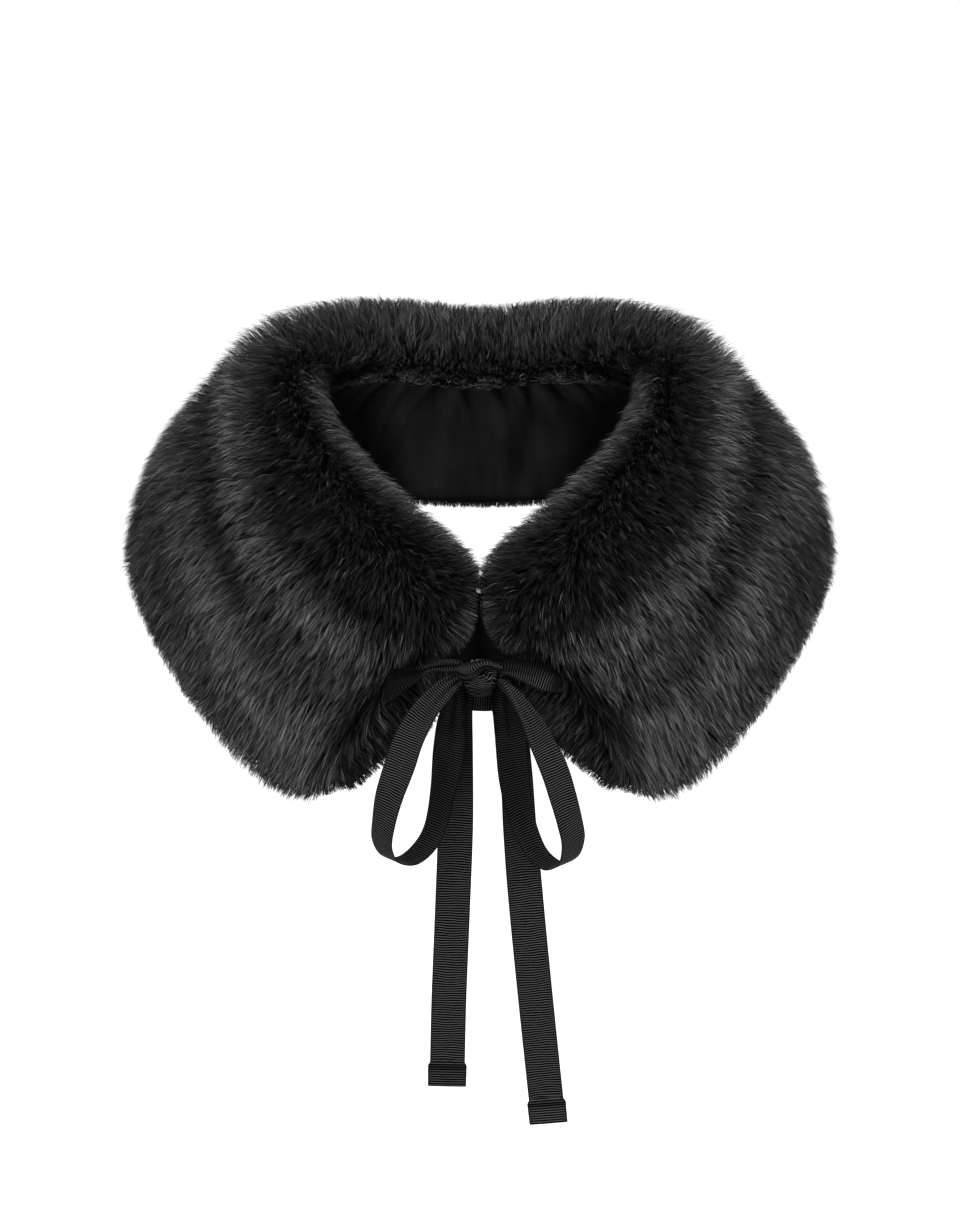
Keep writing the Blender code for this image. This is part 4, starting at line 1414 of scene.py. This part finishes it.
# name, first and last station, first and last q, strands, seed, side
PILES = (
    ("pile_back_inner", BACK, (GRID_Q[0], -0.3), 22000, 11, 1),
    ("pile_back_outer", BACK, (-0.3, GRID_Q[1]), 43000, 12, 1),
    ("pile_back_hem", (-2.9, 2.9), (1.5, 1.8), 8000, 13, 1),
    ("pile_left_inner", FRONT, INNER, 42000, 21, 1),
    ("pile_left_outer", FRONT, OUTER, 52000, 22, 1),
    ("pile_right_inner", FRONT, INNER, 42000, 31, -1),
    ("pile_right_outer", FRONT, OUTER, 52000, 32, -1),
)


def make_pile():
    """The strands of every panel."""
    for name, a_range, q_range, count, seed, side in PILES:
        rng = np.random.default_rng(seed)
        points, facing, tone, width = strands(rng, count, a_range, q_range)
        made = blades(name, points, facing, tone, width, rng, np.full(len(points), side))
        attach(made, "root")


CURLS = 900
CURLS_TO = 2.7  # the outermost ones' station
CURL_POINTS = 6
CURL_WIDTH = 0.24
CURL_LENGTH = (3.0, 9.0)
CURL_TURN = 1.1  # how far, in radians, they start off from straight down
CURL_BEND = (2.6, 3.5)  # how far they curl, and at the most
CURL_TONES = (0.7, 1.1)  # their tone, and how uneven it is
CURL_DARK = -2.0  # and how much darker, with painted shade, they are beside the back


def make_curls():
    """Loose curly pile over the lining's top seam, in uneven tufts."""
    rng = np.random.default_rng(7)
    a = rng.uniform(-CURLS_TO, CURLS_TO, CURLS * 3)
    tufts = 0.5 + 0.5 * np.sin(5.3 * a + 1.1) * np.sin(12.7 * a + 0.4) + 0.3 * np.sin(31 * a)
    a = a[rng.uniform(0, 1, len(a)) < tufts**2][:CURLS]
    n, side, a = len(a), a, np.abs(a)
    rate, _ = rates(a, np.full(n, -1))
    step = rng.uniform(*CURL_LENGTH, n) / (CURL_POINTS - 1)
    up = 13 * rng.uniform(0, 1, n) ** 1.6 + 3
    turn = rng.normal(0, CURL_TURN, n)
    curl = np.clip(rng.normal(0, CURL_BEND[0], n), -CURL_BEND[1], CURL_BEND[1])
    points = []
    x, down = np.zeros(n), np.zeros(n)
    for share in np.linspace(0, 1, CURL_POINTS):
        lifted = 1.0 + 2.6 * math.sin(math.pi * (0.15 + 0.75 * share))
        points.append(surface(a + x / rate, 3 - SEAM + (up - down) / PILE_ARC, -lifted))
        x = x + np.sin(turn + curl * share) * step
        down = down + np.cos(turn + curl * share) * step
    facing = np.broadcast_to([0.0, -1.0, 0.2], (n, 3))
    tone = rng.normal(*CURL_TONES, n) + CURL_DARK * rising(a, 1.3, 1.0)
    made = blades("seam_curls", np.stack(points, 1), facing, tone, np.full(n, CURL_WIDTH), rng, side)
    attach(made, "root")


def make_fur():
    """The backings, which stand for the model's fur, and their pile."""
    back = make_skin("backing_back", np.arange(-SHOULDER, SHOULDER + 0.01, SKIN_STATIONS))
    fronts = np.append(np.arange(SHOULDER, GRID_U[1], SKIN_STATIONS), GRID_U[1])
    left = make_skin("backing_left", fronts, 1)
    right = make_skin("backing_right", fronts, -1)
    for made, node in ((back, "fur_back"), (left, "fur_front_left"), (right, "fur_front_right")):
        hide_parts(node)
        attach(made, "root")
    make_pile()
    make_curls()


# --- The photograph's view ------------------------------------------------------------------------
CAMERA_DISTANCE = 2.5
CAMERA_ELEVATION = 10.0
FOCAL_PIXELS = 4500.0
IMAGE = (960, 1222)
ORIGIN_PIXEL_Y = 439.0  # where the collar's origin is in the image
SENSOR = 36.0


def make_camera():
    """The camera that took the photograph."""
    data = bpy.data.cameras.new("camera")
    data.sensor_fit = "VERTICAL"
    data.sensor_height = SENSOR
    data.lens = FOCAL_PIXELS / IMAGE[1] * SENSOR
    camera = bpy.data.objects.new("camera", data)
    bpy.context.collection.objects.link(camera)
    elevation = math.radians(CAMERA_ELEVATION)
    camera.location = (0, -CAMERA_DISTANCE * math.cos(elevation), CAMERA_DISTANCE * math.sin(elevation))
    dip = math.atan((IMAGE[1] / 2 - ORIGIN_PIXEL_Y) / FOCAL_PIXELS)
    camera.rotation_euler = (math.pi / 2 - elevation - dip, 0, 0)
    bpy.context.scene.camera = camera


FLOOR_DROP = 0.25  # the collar hangs this far above the floor
FLOOR_SIZE = 30.0
FLOOR_GREY = 0.9
SKY_LIGHT = 1.12


def make_stage():
    """A plain light floor far below, and a white sky."""
    low, half = cad_box[0][2] - FLOOR_DROP, FLOOR_SIZE / 2
    corners = [(x * half, y * half, low) for x, y in ((-1, -1), (1, -1), (1, 1), (-1, 1))]
    material, _, shader = node_material("floor", 0.9, 0.1)
    shader["Base Color"].default_value = (FLOOR_GREY, FLOOR_GREY, FLOOR_GREY, 1)
    mesh = bpy.data.meshes.new("floor")
    mesh.from_pydata(corners, [], [(0, 1, 2, 3)])
    mesh_in_scene(mesh, material)
    world = bpy.data.worlds.new("studio")
    bpy.context.scene.world = world
    world.use_nodes = True
    sky = world.node_tree.nodes["Background"].inputs
    sky["Color"].default_value = (1, 1, 1, 1)
    sky["Strength"].default_value = SKY_LIGHT


# name, place, size, power
LAMPS = (
    ("key", (-0.9, -1.6, 1.5), 0.9, 30.0),
    ("fill", (1.2, -1.4, 0.9), 0.9, 18.0),
    ("top", (0.0, 0.3, 1.8), 0.9, 20.0),
)
LIT_PLACE = (0, 0, -0.05)  # the lamps face this


def make_lamps():
    """Soft square lamps that face the collar."""
    for name, place, size, power in LAMPS:
        data = bpy.data.lights.new(name, "AREA")
        data.shape = "SQUARE"
        data.size = size
        data.energy = power
        lamp = bpy.data.objects.new(name, data)
        lamp.location = place
        lamp.rotation_euler = (Vector(LIT_PLACE) - Vector(place)).to_track_quat("-Z", "Y").to_euler()
        bpy.context.collection.objects.link(lamp)


make_camera()
make_stage()
make_lamps()
bpy.context.scene.view_settings.view_transform = "Standard"
make_fur()
make_lining()
make_ribbons()
